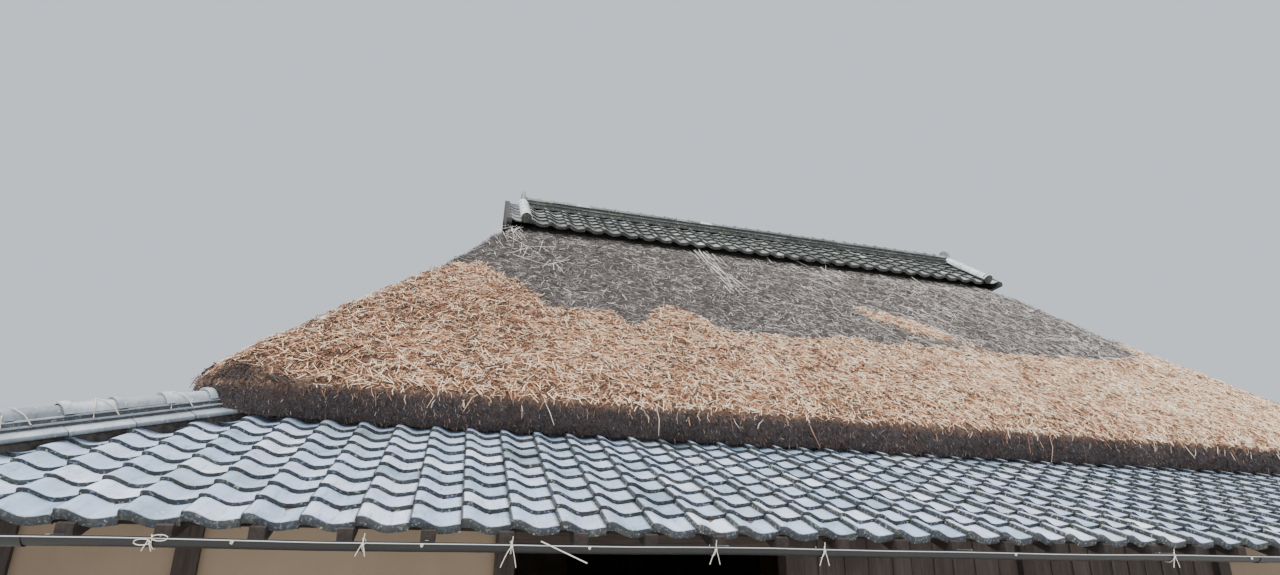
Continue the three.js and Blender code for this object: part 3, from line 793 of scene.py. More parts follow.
RIDGE_UPPER = mirrored([(0.120, 7.255), (0.120, 7.300), (0.131, 7.303), (0.132, 7.312),
                        (0.09, 7.322)])
RIDGE_CORE = mirrored([(0.118, 7.20), (0.118, 7.26), (0.09, 7.32)])
RIDGE_PLATE = mirrored([(0.165, 7.155), (0.168, 7.23), (0.150, 7.29), (0.148, 7.36), (0.120, 7.42),
                        (0.085, 7.462), (0.045, 7.492), (0.0, 7.503)])


def course(outline, x0, x1, length, rng, gap=0.003, shaded=2, tone=0.55):
    """Tiles laid end to end, darker on the first and last points of their outline: painted shade, with
    some dirt.
    """
    edges = np.linspace(x0, x1, max(1, round((x1 - x0) / length)) + 1)
    # The faces under each course's overhang are darkened as painted shade
    wear = np.zeros(len(outline))
    wear[:shaded] = 0.9
    wear[len(outline) - shaded:] = 0.9
    tiles = []
    for a, b in zip(edges[:-1], edges[1:]):
        drop = rng.normal(0, 0.0012)
        section = [(y, z + drop) for y, z in outline]
        tone_here = rng.normal(tone, 0.12)
        tiles.append(bar(section, (a + gap / 2, b - gap / 2), tone_here, np.tile(wear, 2)))
    return joined(tiles)


def arch(half_width, height, base):
    t, steps = ROUND_TILE_THICKNESS, ROUND_TILE_STEPS
    outer = arc(0, base, half_width, 0, 180, steps, height)
    return outer + arc(0, base, half_width - t, 180, 0, steps, height - t)


def round_tiles(x0, x1, length, half_width, height, base, rng, collar, collar_length, tone=0.6):
    """Half-round tiles laid end to end, each with a raised collar over the one before it."""
    count = max(1, round((x1 - x0) / length))
    step = (x1 - x0) / count
    tiles = []
    for a in x0 + step * np.arange(count):
        stations = (
            (a, collar), (a + 0.003, collar + 0.002), (a + collar_length, collar + 0.002),
            (a + collar_length + 0.006, 0.0), (min(a + step + 0.02, x1), -0.003),
        )
        drop = rng.normal(0, 0.0015)
        loops = [[(x, y, z + drop) for y, z in arch(half_width + c, height + c, base)]
                 for x, c in stations]
        tiles.append(lofted(loops, rng.normal(tone, 0.15)))
    return joined(tiles)


def hip_frame(sign_x, sign_y):
    along = Vector((-sign_x, -sign_y, SKIRT_RISE)).normalized()
    across = Vector((sign_y, -sign_x, 0)).normalized()
    above = along.cross(across)
    if above.z < 0:
        across, above = -across, -above
    corner = (sign_x * SKIRT_HALF_LENGTH, sign_y * SKIRT_HALF_DEPTH, SLAB_TOP_AT_EAVE)
    return axes(corner, along, across, above)


def hip_ridge(sign_x, sign_y, rng):
    parts = [
        course(HIP_FLAT, HIP_START, HIP_END, 0.36, rng, 0.006, 1),
        course(HIP_LOWER, HIP_START + 0.02, HIP_END, 0.31, rng, 0.002),
        course(HIP_UPPER, HIP_START + 0.03, HIP_END, 0.34, rng, 0.002),
        round_tiles(HIP_START + 0.03, HIP_END, 0.30, 0.078, 0.074, 0.138, rng, 0.016, 0.05),
        hip_end_tile(),
    ]
    return moved(joined(parts), hip_frame(sign_x, sign_y))


def hip_bed(sign_x, sign_y, rng):
    """The clay that the hip tiles are laid in."""
    return moved(course(HIP_CORE, HIP_START + 0.03, HIP_END, 3.0, rng), hip_frame(sign_x, sign_y))


def hip_end_tile():
    """An upright end tile with a raised rim and a plain round boss."""
    x0 = HIP_START
    rim = bar(HIP_PLATE, (x0 - 0.012, x0 + 0.03), 0.4, 0.2)
    face = lofted([
        [(x, y * s, 0.014 + z * s) for y, z in HIP_PLATE]
        for x, s in ((x0 - 0.02, 0.8), (x0 - 0.012, 0.86), (x0, 0.86))
    ], 0.55)
    boss = wheel(((x0 - 0.034, 0.012), (x0 - 0.032, 0.03), (x0 - 0.018, 0.042)), 0.115, 16, 0.6)
    return joined([rim, face, boss])


def hip_ties(sign_x, sign_y):
    """Pale wires over the round tiles, in pairs that part from one point at the top."""
    wires = []
    for place in np.arange(HIP_START + 0.33, HIP_END - 0.15, 0.45):
        for lean in HIP_TIE_LEANS:
            path = [(place + lean * share, side * across, height)
                    for side, leg in ((-1, HIP_TIE), (1, HIP_TIE[-2::-1]))
                    for share, across, height in leg]
            wires.append(tube(path, 0.0038))
    return moved(joined(wires), hip_frame(sign_x, sign_y))


# Ridge cap
def cap_tiles(side, rng):
    columns = TILE_PITCH * (np.arange(CAP_COLUMNS) - CAP_COLUMNS / 2)
    nose = (-CAP_HALF_DEPTH + CAP_NOSE[0], CAP_NOSE[1])
    rows = tile_rows(columns, CAP_ROWS, CAP_SLOPE, nose, CAP_TONES, rng)
    tiles = cut_behind(joined([copies(*row) for row in rows]), (0, -0.01, 0), (0, 1, 0))
    return turned(joined([tiles, cap_verge(rng), cap_deck()]), side)


def slope_frame(x):
    """Up the front slope of the cap at a given x: x axis up the slope, z off the roof."""
    along = Vector((0, math.cos(CAP_SLOPE), math.sin(CAP_SLOPE)))
    above = Vector((0, -math.sin(CAP_SLOPE), math.cos(CAP_SLOPE)))
    return axes((x, -CAP_HALF_DEPTH, CAP_TOP_AT_EAVE), along, above.cross(along), above)


def cap_verge(rng):
    """A roll of round tiles up each end of the slope, and the narrow tiles outside it."""
    slope_length = CAP_HALF_DEPTH / math.cos(CAP_SLOPE)
    parts = []
    for sign in (-1, 1):
        roll = round_tiles(-0.02, slope_length - 0.1, 0.24, VERGE_RADIUS, VERGE_RADIUS,
                           VERGE_BASE, rng, 0.006, 0.03, 1.4)
        disc = wheel(((-0.03, 0.052), (-0.026, 0.06), (-0.03, 0.066), (-0.026, 0.074),
                      (0.05, 0.074)), VERGE_BASE + 0.008, 18, 0.35, 0.8)
        parts += [moved(form, slope_frame(sign * VERGE_X)) for form in (roll, disc)]
        outer = sign * (CAP_HALF_LENGTH - 0.055)
        for row in range(CAP_ROWS):
            x0 = row * TILE_EXPOSURE
            stations = ((x0, 0.006), (x0 + 0.006, 0.012), (min(x0 + 0.25, slope_length), -0.006))
            loops = [[(x, -sign * y, z + lift) for y, z in VERGE_TILE] for x, lift in stations]
            parts.append(moved(lofted(loops, rng.uniform(0.3, 0.8)), slope_frame(outer)))
    return joined(parts)


def cap_deck():
    """The bedding boards under the cap tiles."""
    boards = []
    for y0, y1 in CAP_BOARDS:
        z0, z1 = (CAP_TOP_AT_EAVE + CAP_RISE * (CAP_HALF_DEPTH + y) - CAP_BED for y in (y0, y1))
        section = [(y0, z0), (y1, z1), (y1, z1 + CAP_BOARD_THICKNESS), (y0, z0 + CAP_BOARD_THICKNESS)]
        boards.append(bar(section, (-CAP_HALF_LENGTH, CAP_HALF_LENGTH), 0.1, 1.0))
    return joined(boards)


def ridge_tiles(rng):
    x0, x1 = -RIDGE_HALF_LENGTH, RIDGE_HALF_LENGTH
    return joined([
        course(RIDGE_LOWER, x0, x1, 0.30, rng, tone=0.35),
        course(RIDGE_UPPER, x0, x1, 0.31, rng, tone=0.3),
        round_tiles(x0, x1, 0.21, 0.090, 0.088, 7.316, rng, 0.010, 0.035, 0.4),
    ])


def ridge_end(sign):
    """An upright plain end tile: shouldered outline, raised rim and a round boss."""
    near = RIDGE_HALF_LENGTH + 0.001
    far = near + RIDGE_END_THICKNESS
    plate = [
        [(sign * x, y * s, RIDGE_BOSS_Z + (z - RIDGE_BOSS_Z) * s) for y, z in RIDGE_PLATE]
        for x, s in ((near, 0.98), (near + 0.006, 1.0), (far - 0.008, 1.0), (far, 0.97),
                     (far, 0.82), (far - 0.012, 0.78))
    ]
    stations = ((far - 0.013, 0.062), (far - 0.004, 0.055), (far - 0.001, 0.02))
    boss = wheel([(sign * x, r) for x, r in stations], RIDGE_BOSS_Z, 18, 0.5)
    return joined([lofted(plate, 0.6), boss])


# Thatch
def smooth_profile(run):
    """Height of the outside at a run, on one smooth curve through the known points."""
    runs, heights = np.array(THATCH_PROFILE, float).T
    slopes = np.gradient(heights, runs)
    i = np.clip(np.searchsorted(runs, run) - 1, 0, len(runs) - 2)
    width = runs[i + 1] - runs[i]
    s = np.clip((run - runs[i]) / width, 0, 1)
    return (
        heights[i] * (1 + 2 * s) * (1 - s) ** 2
        + heights[i + 1] * s * s * (3 - 2 * s)
        + width * (slopes[i] * s * (1 - s) ** 2 - slopes[i + 1] * s * s * (1 - s))
    )


def plan_loop(run):
    """The thatch's plan outline at a run in from the eave: a rectangle with rounded corners."""
    share = run / THATCH_HALF_DEPTH
    half_length = THATCH_HALF_LENGTH - (THATCH_HALF_LENGTH - THATCH_RIDGE_HALF) * share
    half_depth = THATCH_HALF_DEPTH * (1 - share)
    blend = max(0.0, 1 - run / THATCH_CORNER_REACH)
    radius = THATCH_HIP_RADIUS + (THATCH_CORNER - THATCH_HIP_RADIUS) * blend
    radius = min(radius, half_depth * 0.9)
    x, y = half_length - radius, half_depth - radius
    centres = np.array([(x, -y), (x, y), (-x, y), (-x, -y)])
    loop = []
    for i, centre in enumerate(centres):
        start, end = 90 * i - 90, 90 * i
        angles = np.radians(np.linspace(start, end, COAT_CORNER, endpoint=False))
        loop.append(centre + radius * np.stack([np.cos(angles), np.sin(angles)], -1))
        reach = radius * np.array([math.cos(math.radians(end)), math.sin(math.radians(end))])
        count = COAT_SHORT if i % 2 == 0 else COAT_LONG
        shares = np.linspace(0, 1, count, False)[:, None]
        loop.append(centre + reach + (centres[(i + 1) % 4] - centre) * shares)
    return np.vstack(loop)


def side_runs(points):
    """How far each point lies in from the eave of each side."""
    ratio = (THATCH_HALF_LENGTH - THATCH_RIDGE_HALF) / THATCH_HALF_DEPTH
    x, y = points[:, 0], points[:, 1]
    return np.stack([
        THATCH_HALF_DEPTH + y, (THATCH_HALF_LENGTH - x) / ratio,
        THATCH_HALF_DEPTH - y, (THATCH_HALF_LENGTH + x) / ratio,
    ])


def side_of(points):
    return np.array(list(TURNS))[np.argmin(side_runs(points), axis=0)]


def from_corner(points):
    return np.hypot(THATCH_HALF_LENGTH - np.abs(points[:, 0]),
                    THATCH_HALF_DEPTH - np.abs(points[:, 1]))


def old_share(points):
    """1 where the old thatch shows, 0 on the new thatch, with a ragged edge between them."""
    sides = side_of(points)
    x, y, z = points[:, 0], points[:, 1], points[:, 2]
    along = np.where(np.isin(sides, LONG_SIDES), x, y)
    edge = np.zeros(len(points))
    for name, table in NEW_THATCH_EDGE.items():
        places, heights = np.array(table).T
        edge[sides == name] = np.interp(along[sides == name], places, heights)
    ragged = np.array([noise.noise(Vector(p) * 3.1) + 0.6 * noise.noise(Vector(p) * 9.0)
                       for p in points[:, :3]])
    old = np.clip((z - edge + EDGE_RAGGED * ragged) / EDGE_BLUR + 0.5, 0, 1)
    for (xa, za, wa), (xb, zb, wb) in zip(RED_PATCH[:-1], RED_PATCH[1:]):
        length = np.hypot(xb - xa, zb - za)
        share = np.clip(((x - xa) * (xb - xa) + (z - za) * (zb - za)) / length**2, 0, 1)
        far = np.hypot(x - xa - share * (xb - xa), z - za - share * (zb - za))
        near = (sides == "front") & (far + 0.08 * ragged < wa + (wb - wa) * share)
        old[near] = np.minimum(old[near], 0.05)
    return old


def corner_shade(points):
    """1 on the dark straw that climbs above the cut face near each corner, else 0."""
    off = np.abs(from_corner(points) - CORNER_SHADE_AT) / CORNER_SHADE_REACH
    reach = CORNER_SHADE * np.clip(1 - off, 0, 1)
    share = np.clip((reach - side_runs(points).min(0)) / 0.04 + 0.5, 0, 1)
    return np.where(off < 1, share, 0.0)


def blunt_corners(grid):
    """Stands the cut face upright near the corners, with a higher lower edge."""
    eave = grid[len(THATCH_CUT)].copy()
    near = np.clip(1 - from_corner(eave) / THATCH_BLUNT_REACH, 0, 1)[:, None]
    for ring in grid[: len(THATCH_CUT)]:
        ring += (eave - ring) * near * THATCH_BLUNT


def thatch_coat():
    """The body of the thatch as rings: cut eave face, outside, and the plain underside."""
    top = np.linspace(0, THATCH_TOP_RUN, COAT_LEVELS)
    rings = [*THATCH_CUT, *[(run, smooth_profile(run)) for run in top]]
    shown = len(rings)
    rings += [(run, smooth_profile(run) - THATCH_DEPTH) for run in UNDERSIDE_RUNS]
    rings.append(INNER_SEAT)
    grid = np.array([np.insert(plan_loop(run), 2, z, axis=1) for run, z in rings])
    blunt_corners(grid)
    outward = unit(np.cross(
        np.roll(grid, -1, 1) - np.roll(grid, 1, 1), np.gradient(grid, axis=0)
    ))
    flat = grid.reshape(-1, 3)
    old = old_share(flat).reshape(grid.shape[:2])
    swell = np.array([
        sum(height * noise.noise(Vector(p) * waves) for height, waves in SWELL) for p in flat
    ]).reshape(grid.shape[:2])
    runs = np.array([run for run, _ in rings])[:, None]
    free = np.clip((TUCK_RUN - runs) / TUCK_LENGTH, 0, 1)
    lift = (swell + NEW_THATCH_RISE * (1 - old)) * free - TUCK_DEPTH * (1 - free)
    lift[shown:] = 0.0
    tone = corner_shade(flat).reshape(grid.shape[:2])
    tone[: len(THATCH_CUT)] = 1.0
    tone[len(THATCH_CUT)] = 0.35
    tone[shown:] = 1.0
    grid = grid + outward * lift[..., None]
    vertices = np.concatenate([grid, tone[..., None], old[..., None]], -1).reshape(-1, 5)
    return facing_out((vertices, [looped_quads(*grid.shape[:2], True)])), grid[:shown]


def straw_forms(middles, directions, normals, lengths, widths, tones, old, rng, bent=False):
    """Straws as folded ribbons: left edge, fold and right edge at both ends and at any bend."""
    count = len(middles)
    side = unit(np.cross(normals, directions))
    above = np.cross(directions, side)
    roll = rng.normal(0, 0.5, count)[:, None]
    across = side * np.cos(roll) + above * np.sin(roll)
    up = above * np.cos(roll) - side * np.sin(roll)
    half = directions * (lengths / 2)[:, None]
    sway = side * (rng.normal(0, 0.11, count) * lengths)[:, None]
    arch_up = above * (np.abs(rng.normal(0, 0.035, count)) * lengths)[:, None]
    w = widths[:, None] / 2
    places = [(middles - half, 0.75), (middles + half, 0.55)]
    if bent:
        places.insert(1, (middles + sway + arch_up, 1.0))
    stations = []
    for centre, share in places:
        stations += [centre - across * w * share, centre + up * w * share * 0.8,
                     centre + across * w * share]
    corners = np.stack(stations, axis=1)
    each = len(stations)
    marks = np.empty((count, each, 2))
    marks[:, :, 0] = tones[:, None] + rng.normal(0, 0.08, (count, each))
    marks[:, :, 1] = np.broadcast_to(old, count)[:, None]
    faces = np.array([(i + j, i + j + 1, i + j + 4, i + j + 3)
                      for i in range(0, each - 3, 3) for j in (0, 1)])
    step = (np.arange(count) * each)[:, None, None]
    vertices = np.concatenate([corners, marks], -1).reshape(-1, 5)
    return vertices, [(faces[None] + step).reshape(-1, 4)]


def halves(form):
    """The first and the second half of a form made of straight straws."""
    points, (faces,) = form
    straws = len(faces) // STRAIGHT_FACES // 2
    corners, used = straws * STRAIGHT_CORNERS, straws * STRAIGHT_FACES
    return (points[:corners], [faces[:used]]), (points[corners:], [faces[used:] - corners])


def surface_quads(grid):
    """Corners, centres, outward normals, uphill directions and areas of a grid's quads."""
    after = np.roll(grid, -1, 1)
    corners = np.stack([grid[:-1], after[:-1], after[1:], grid[1:]], 2).reshape(-1, 4, 3)
    uphill = corners[:, 3] - corners[:, 0]
    normal = np.cross(corners[:, 1] - corners[:, 0], uphill)
    return corners, corners.mean(1), unit(normal), unit(uphill), np.linalg.norm(normal, axis=1)


def scatter(quads, weights, density, rng):
    """Random places on the quads, with the normal and uphill direction at each."""
    corners, _, normals, uphills, areas = quads
    mass = areas * weights
    count = int(mass.sum() * density)
    chosen = rng.choice(len(areas), count, p=mass / mass.sum())
    u, v = rng.random((2, count, 1))
    a, b, c, d = (corners[chosen, i] for i in range(4))
    places = (a * (1 - u) + b * u) * (1 - v) + (d * (1 - u) + c * u) * v
    return places, normals[chosen], uphills[chosen]


def laid(spots, wide, kind, rng):
    """Straws of one kind lying on the slope, made wider and longer where they are fewer."""
    places, normals, uphills = spots
    _, spread, lift, length, width, tone, old, tilt = kind
    count = len(places)
    angle = rng.normal(0, spread, count)[:, None]
    direction = -uphills * np.cos(angle) + np.cross(uphills, normals) * np.sin(angle)
    direction = unit(direction + normals * rng.normal(0, tilt, count)[:, None])
    raised = places + normals * rng.uniform(0, lift, count)[:, None]
    lengths = rng.uniform(length[0], length[1] * wide, count)
    widths = rng.uniform(width[0] * wide, width[1] * wide, count)
    # Straws pale to the right as painted light
    tones = np.clip(rng.normal(*tone, count) + PAINTED_LIGHT_TO_RIGHT * places[:, 0], 0, 1)
    shade = corner_shade(places)
    return straw_forms(raised, direction, normals, lengths, widths, tones * (1 - 0.7 * shade),
                       np.maximum(old, 0.8 * shade), rng)


def slope_straws(quads, wanted, rng):
    """The new and the old straws of one side, except under the ridge cap."""
    centres = quads[1]
    old = old_share(centres)
    under_cap = (np.abs(centres[:, 1]) < UNDER_CAP) & (np.abs(centres[:, 0]) < CAP_HALF_LENGTH)
    here = (side_of(centres) == wanted) & ~under_cap
    share = STRAW_SHARES[wanted]
    return [
        laid(scatter(quads, here * part, kind[0] * share, rng), share**-0.3, kind, rng)
        for kind, part in ((FRESH_STRAWS, old < 0.5), (AGED_STRAWS, old >= 0.5))
    ]


def side_scatter(rings, wanted, density, rng):
    quads = surface_quads(rings)
    here = (side_of(quads[1]) == wanted).astype(float)
    return scatter(quads, here, density * STRAW_SHARES[wanted], rng)


def cut_straws(grid, wanted, rng):
    """Stub ends on the cut face of the eave, and straws that hang over its upper edge."""
    edge = len(THATCH_CUT)
    places, normals, uphills = side_scatter(grid[: edge + 1], wanted, CUT_STUBS, rng)
    count = len(places)
    direction = unit(normals * 0.55 - uphills * 0.45 + rng.normal(0, 0.35, (count, 3)))
    lengths = rng.uniform(0.025, 0.065, count)
    aged = rng.uniform(0.6, 1.0, count)
    stubs = straw_forms(places + direction * lengths[:, None] * 0.2, direction, normals, lengths,
                        rng.uniform(0.005, 0.008, count),
                        np.clip(rng.normal(0.16, 0.20, count), 0, 1), aged, rng)
    places, normals, uphills = side_scatter(grid[edge - 1: edge + 2], wanted, EDGE_STRAWS, rng)
    count = len(places)
    level = np.cross(uphills, normals)
    direction = unit(-uphills * 0.5 + (0, 0, -0.75) + level * rng.normal(0, 0.55, count)[:, None]
                     + normals * rng.normal(0.1, 0.15, count)[:, None])
    lengths = np.where(rng.random(count) < LONG_EDGE_STRAWS, rng.uniform(0.18, 0.34, count),
                       rng.uniform(0.04, 0.10, count))
    tones = np.clip(rng.normal(0.5, 0.3, count), 0, 1) * (1 - 0.8 * corner_shade(places))
    hanging = straw_forms(places + direction * lengths[:, None] * 0.3 + normals * 0.006, direction,
                          normals, lengths, rng.uniform(0.005, 0.010, count), tones,
                          rng.uniform(0.0, 0.5, count), rng, True)
    return joined([stubs, hanging])


def loose_straws(rng):
    """Pale straws blown on to the old thatch of the front."""
    parts = []
    runs, heights = np.array(THATCH_PROFILE, float).T
    uphill = unit(np.array([0.0, 1.0, 1.0]))
    normal = unit(np.array([0.0, -1.0, 1.0]))
    for x, z, spread, count, lean, scattered in LOOSE_STRAWS:
        xs, zs = rng.normal(x, spread, count), rng.normal(z, spread * 0.8, count)
        run = np.interp(zs, heights, runs)
        places = np.stack([xs, run - THATCH_HALF_DEPTH, smooth_profile(run)], -1)
        angle = rng.normal(lean, scattered, count)[:, None]
        direction = -uphill * np.cos(angle) + np.array([1.0, 0, 0]) * np.sin(angle)
        normals = np.broadcast_to(normal, (count, 3))
        places = places + normals * rng.uniform(0.012, 0.028, count)[:, None]
        parts.append(straw_forms(places, direction, normals, rng.uniform(0.22, 0.55, count),
                                 rng.uniform(0.005, 0.009, count),
                                 np.clip(rng.normal(0.95, 0.1, count), 0, 1), 1.0, rng))
    return joined(parts)


# Timber walls, stones and windows
def base_stones(side, rng):
    long = side in LONG_SIDES
    half = WALL_X + STONE_WIDTH / 2 if long else WALL_Y - STONE_WIDTH / 2 - 0.001
    y = -WALL_Y if long else -WALL_X
    stones = []
    x = -half
    while x < half - 0.05:
        length = min(rng.uniform(0.32, 0.58), half - x)
        if half - x - length < 0.2:
            length = half - x
        stones.append(rough_stone(x + STONE_JOINT, x + length - STONE_JOINT, y, rng))
        x += length
    return turned(joined(stones), side)


def rough_stone(x0, x1, y, rng):
    """A squared stone with worn edges: a loft of uneven rings."""
    seed = Vector(rng.uniform(0, 50, 3))
    turns = np.linspace(0, 2 * math.pi, 20, endpoint=False) + 0.05
    tone = rng.uniform(0.1, 0.9)
    loops = []
    for s in np.linspace(-1, 1, 9):
        shrink = (1 - 0.16 * abs(s) ** 6) / 2
        ring = []
        for a in turns:
            c, sn = math.cos(a), math.sin(a)
            w, h = (size * shrink * math.copysign(abs(part) ** 0.28, part)
                    for size, part in ((STONE_WIDTH, c), (STONE_HEIGHT, sn)))
            place = Vector((s * 1.5, c, sn)) + seed
            dent = 1 - 0.05 * (noise.noise(place * 1.7) + 0.5) - 0.02 * noise.noise(place * 5)
            z = min(max(STONE_HEIGHT / 2 + h * dent, 0.0), STONE_HEIGHT)
            ring.append(((x0 + x1) / 2 + s * (x1 - x0) / 2, y + w * dent, z))
        loops.append(ring)
    return lofted(loops, tone)


def board_wall(x0, x1, rng):
    """Upright boards with thin battens over their joints, and rails behind them."""
    parts = []
    x = x0
    while x < x1 - 0.02:
        width = rng.uniform(*BOARD_WIDTHS)
        if x1 - x - width < BOARD_NARROWEST:
            width = x1 - x
        y = -WALL_Y - 0.004 + rng.normal(0, 0.001)
        parts.append(post(x + 0.0015, x + width - 0.0015, y - BOARD_HALF_DEPTH, y + BOARD_HALF_DEPTH,
                          WALL_BOTTOM, WALL_TOP, rng.uniform(0.1, 0.9)))
        if x > x0 + 0.01:
            parts.append(post(x - BATTEN_HALF_WIDTH, x + BATTEN_HALF_WIDTH, y - 0.0185, y - 0.0095,
                              WALL_BOTTOM, WALL_TOP, rng.uniform(0.1, 0.9), 0.002))
        x += width
    for z in BOARD_RAILS:
        parts.append(block(x0, x1, -WALL_Y + 0.0065, -WALL_Y + 0.0195, z, z + 0.05, 0.4))
    return joined(parts)


def boards_for(side, rng):
    walls = [board_wall(a + POST / 2 + 0.001, b - POST / 2 - 0.001, rng) for a, b in BOARD_BAYS]
    return turned(joined(walls), side)


def between(low, high, count):
    return np.linspace(low, high, count + 2)[1:-1]


def lattice_window(side, rng):
    """A window frame with upright bars in front of paper on a thin grid."""
    low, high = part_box(f"{side}_window")
    x0, x1 = (low.y, high.y) if side == "right" else (-high.y, -low.y)
    bottom, top, y = low.z, high.z, -WALL_X
    y0, y1 = y - WINDOW_HALF_DEPTH, y + WINDOW_HALF_DEPTH
    a, b = x0 + WINDOW_RIM, x1 - WINDOW_RIM
    c, d = bottom + WINDOW_RIM, top - WINDOW_RIM
    parts = [
        block(x0, x1, y0, y1, bottom, c),
        block(x0, x1, y0, y1, d, top),
        post(x0, a, y0, y1, c, d),
        post(b, x1, y0, y1, c, d),
    ]
    for x in between(a, b, 14):
        tone = rng.uniform(0.2, 0.8)
        parts.append(post(x - 0.012, x + 0.012, y - 0.034, y - 0.012, c, d, tone, 0.002))
    parts += [block(a, b, y - 0.011, y + 0.003, z - 0.01, z + 0.01) for z in between(c, d, 2)]
    parts += [block(a, b, y + 0.008, y + 0.022, z - 0.005, z + 0.005) for z in between(c, d, 4)]
    parts += [post(x - 0.005, x + 0.005, y + 0.009, y + 0.021, c, d) for x in between(a, b, 4)]
    paper = block(a - 0.004, b + 0.004, y + 0.0035, y + 0.0055, c - 0.004, d + 0.004, edge=0.0003)
    return turned(joined(parts), side), turned(paper, side)


# Gutters
def gutter(side):
    """A half-round trough with a rolled rim, joint sleeves, end discs and straps."""
    y, z, r, end = -GUTTER_Y, GUTTER_RIM, GUTTER_RADIUS, SKIRT_HALF_LENGTH
    disc = arc(y, z, r, 180, 360, GUTTER_STEPS)
    wall = disc + arc(y, z, r - GUTTER_WALL, 360, 180, GUTTER_STEPS)
    sleeve = arc(y, z, r * 1.05, 180, 360, GUTTER_STEPS) + arc(y, z, r * 1.01, 360, 180, GUTTER_STEPS)
    wall_y = -SKIRT_HALF_DEPTH - 0.001
    strap = ((y - r, z + 0.008), (wall_y, z + 0.012), (wall_y, z + 0.008), (y - r, z + 0.004))
    stations = np.linspace(-end, end, 41)
    sag = 0.003 * np.sin(stations * 1.7) + 0.002 * np.sin(stations * 4.1 + 1)
    rim = [(x, y - r - 0.001, z - 0.008 + drop) for x, drop in zip(stations, sag)]
    bead = tube(rim, 0.0026, 8)
    # Painted highlight: the rim bead is marked for the pale colour
    bead[0][:, 4] = 0.75
    trough = [[(x, u, v + drop) for u, v in wall] for x, drop in zip(stations, sag)]
    parts = [lofted(trough), bead]
    parts += [bar(sleeve, (x - 0.05, x + 0.05), 0.4) for x in GUTTER_JOINTS]
    parts += [bar(disc, (x - 0.002, x + 0.002), 0.4) for x in (-end, end)]
    parts += [bar(strap, (x - 0.009, x + 0.009), 0.5, 0.3) for x in GUTTER_STRAPS]
    return turned(joined(parts), side)


def gutter_loop(x, rng):
    ring = arc(-GUTTER_Y, GUTTER_RIM, GUTTER_RADIUS + 0.004, 165, 375, 12)
    return tube([(x + rng.normal(0, 0.002), y, z) for y, z in ring], 0.0024)


def gutter_strings(rng):
    """Short knotted strings round the front gutter, a bow, and one loose stick on the rim."""
    z = GUTTER_RIM
    ties = [x for x, _ in GUTTER_TIES]
    strings = [gutter_loop(x, rng) for x in (GUTTER_BOW, *ties)]

    def draw(along, heights, radius, nearer=0.0):
        """A string in front of the gutter, from its places along X and its heights."""
        depths = np.zeros(len(along)) - GUTTER_Y - GUTTER_RADIUS - 0.006 - nearer
        strings.append(tube(np.stack([along, depths, heights], -1), radius))

    turn = np.linspace(0, 5.5, 7)
    for x in (*GUTTER_KNOTS, *ties):
        draw(x + 0.006 * np.cos(turn), z - 0.018 + 0.006 * np.sin(turn), 0.0035)
    tail, end = np.linspace(0, 1, 6), np.linspace(0, 1, 4)
    for x, low in GUTTER_TIES:
        drop = z - 0.015 - low
        for lean in (-0.5, 0.25):
            draw(x + lean * drop * tail, z - 0.015 - drop * tail**1.3, 0.0022, 0.004 * tail)
        draw(x + 0.004 * end, z - 0.01 + 0.045 * end, 0.0022)
    turn, tail = np.linspace(0, 2 * math.pi, 12), np.linspace(0, 1, 5)
    for sign in (-1, 1):
        wing = z - 0.012 + 0.014 * np.sin(turn) + 0.010 * sign
        draw(GUTTER_BOW + sign * 0.034 * (1 - np.cos(turn)), wing, 0.0024, 0.003)
        draw(GUTTER_BOW + sign * 0.02 * tail - 0.01, z - 0.012 - 0.05 * tail, 0.0022, 0.003)
    draw(-4.10 + 0.25 * end, z + 0.012 - 0.108 * end, 0.0035, 0.002)
    return joined(strings)


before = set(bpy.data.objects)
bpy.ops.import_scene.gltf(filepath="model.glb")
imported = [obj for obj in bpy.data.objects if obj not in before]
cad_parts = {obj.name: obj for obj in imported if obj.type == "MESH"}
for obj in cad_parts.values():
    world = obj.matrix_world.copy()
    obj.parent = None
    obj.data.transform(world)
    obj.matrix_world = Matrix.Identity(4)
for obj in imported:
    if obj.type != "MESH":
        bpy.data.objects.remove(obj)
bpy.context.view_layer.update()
set_camera()
set_floor()
set_light()

TILE = tile_material(
    "skirt tile", ((94, 108, 118), (154, 177, 203), (176, 190, 220), (224, 234, 246)), (44, 46, 46), 0.4)
HIP_TILE = tile_material(
    "hip tile", ((84, 91, 96), (122, 131, 139), (148, 156, 164), (226, 232, 238)), (58, 62, 64), 0.5)
# The cap tile, also on the ridge, is a darker copy of the skirt tile: partly moss, partly painted shade
# of faces seen from below
CAP_TILE = tile_material(
    "cap tile", ((52, 55, 54), (79, 83, 84), (106, 110, 112), (206, 211, 213)), (36, 39, 37), 0.6)
BED = bed_material()
PLASTER = plaster_material()
STONE = stone_material()
PAPER = paper_material()
GUTTER = gutter_material()
STRING = string_material()
COAT = coat_material()
STRAW = straw_material()

# Timbers: dark and pale colour, and how the grain is stretched
TIMBERS = {name: timber_material(name, *values) for name, values in {
    "weathered timber": ((52, 42, 38), (112, 92, 80), (5, 5, 40)),
    "gable boards": ((30, 29, 28), (64, 62, 60), (5, 5, 40)),
    "rafter timber along y": ((34, 28, 26), (74, 61, 53), (40, 4, 30)),
    "rafter timber along x": ((34, 28, 26), (74, 61, 53), (4, 40, 30)),
    "upright timber": ((40, 33, 30), (86, 71, 62), (36, 36, 3)),
    "level timber along x": ((46, 37, 33), (100, 82, 72), (3, 36, 36)),
    # Wall boards: partly their own dark timber, partly painted shade of the deep eave over them
    "wall boards": ((40, 34, 31), (86, 74, 67), (60, 60, 3)),
}.items()}

random = np.random.default_rng(7)

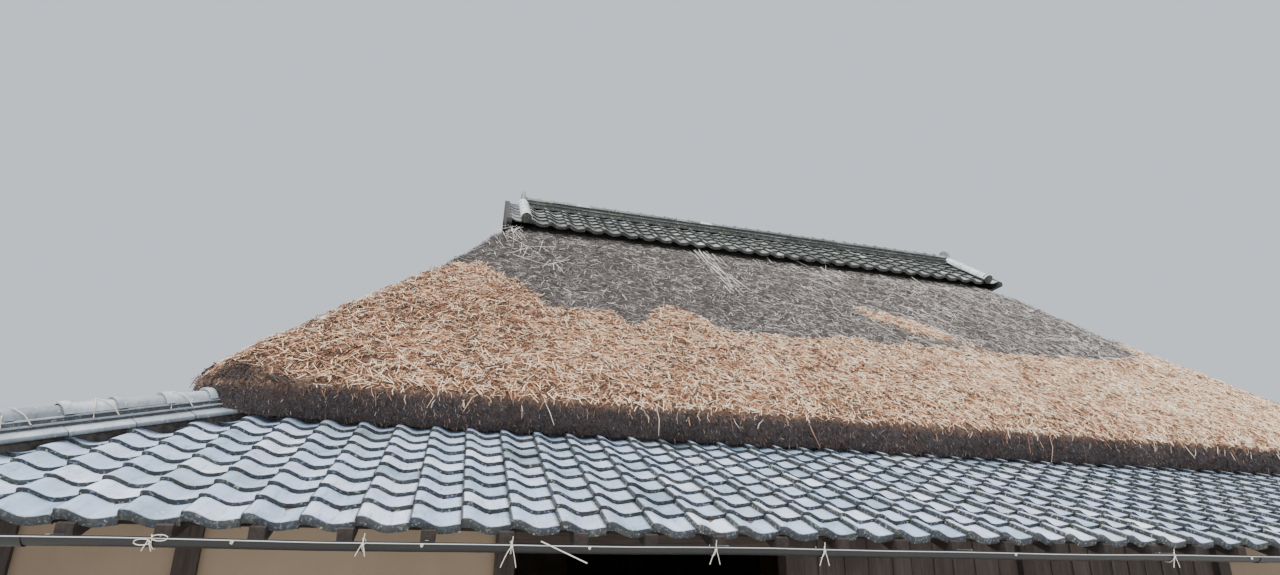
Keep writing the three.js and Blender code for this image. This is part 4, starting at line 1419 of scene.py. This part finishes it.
for name in TURNS:
    piece(f"skirt_tiles_{name}", skirt_tiles(name, random), TILE,
          [f"skirt_roof_{name}"], 35)
    piece(f"skirt_deck_{name}", skirt_deck(name, random), TIMBERS["weathered timber"])

for y_name, y_sign in (("front", -1), ("back", 1)):
    for x_name, x_sign in (("left", -1), ("right", 1)):
        corner_name = f"{y_name}_{x_name}"
        piece(f"hip_tiles_{corner_name}", hip_ridge(x_sign, y_sign, random), HIP_TILE,
              [f"hip_ridge_{corner_name}"], 35)
        piece(f"hip_ties_{corner_name}", hip_ties(x_sign, y_sign), STRING)

for name in LONG_SIDES:
    piece(f"cap_tiles_{name}", cap_tiles(name, random), CAP_TILE,
          [f"cap_roof_{name}"], 35)
beds = [hip_bed(x_sign, y_sign, random) for x_sign in (-1, 1) for y_sign in (-1, 1)]
beds.append(course(RIDGE_CORE, -RIDGE_HALF_LENGTH, RIDGE_HALF_LENGTH, 8.0, random))
piece("ridge_beds", joined(beds), BED)
piece("ridge_tiles", ridge_tiles(random), CAP_TILE, ["ridge_stack"], 35)
for name, x_sign in (("left", -1), ("right", 1)):
    piece(f"ridge_end_tile_{name}", ridge_end(x_sign), CAP_TILE,
          [f"ridge_end_{name}"], 35)

coat, outside = thatch_coat()
piece("thatch_coat", coat, COAT, [f"thatch_{name}" for name in TURNS], 60)
slopes = surface_quads(outside[len(THATCH_CUT):])
for name in TURNS:
    new_straws, old_straws = slope_straws(slopes, name, random)
    edge_straws = cut_straws(outside, name, random)
    if name == "front":
        for letter, part in zip("ab", halves(new_straws)):
            piece(f"new_straws_front_{letter}", part, STRAW)
        piece("old_straws_front", joined([old_straws, loose_straws(random)]), STRAW)
        piece("eave_straws_front", edge_straws, STRAW)
    else:
        piece(f"straws_{name}", joined([new_straws, old_straws, edge_straws]), STRAW)

for name in TURNS:
    piece(f"base_stones_{name}", base_stones(name, random), STONE,
          [f"stone_base_{name}"], 40)
for name in LONG_SIDES:
    piece(f"{name}_boards", boards_for(name, random), TIMBERS["wall boards"],
          [f"{name}_board_wall"])
for name in ("left", "right"):
    bars, sheet = lattice_window(name, random)
    piece(f"{name}_window_bars", bars, TIMBERS["upright timber"], [f"{name}_window"])
    piece(f"{name}_window_paper", sheet, PAPER)

for name in LONG_SIDES:
    piece(f"gutter_trough_{name}", gutter(name), GUTTER, [f"gutter_{name}"], 40)
piece("gutter_strings", gutter_strings(random), STRING)

# Materials of the CAD nodes that stay, by a part of their names
CAD_MATERIALS = {
    "plaster": PLASTER,
    "rafters_front": TIMBERS["rafter timber along y"],
    "rafters_back": TIMBERS["rafter timber along y"],
    "rafters_left": TIMBERS["rafter timber along x"],
    "rafters_right": TIMBERS["rafter timber along x"],
    "frame": TIMBERS["upright timber"],
    "lintel": TIMBERS["level timber along x"],
    "inner_bent": TIMBERS["upright timber"],
    "inner_plate": TIMBERS["level timber along x"],
    "gable_board": TIMBERS["gable boards"],
}
for name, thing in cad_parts.items():
    for key, material in CAD_MATERIALS.items():
        if key in name:
            thing.data.materials.clear()
            thing.data.materials.append(material)
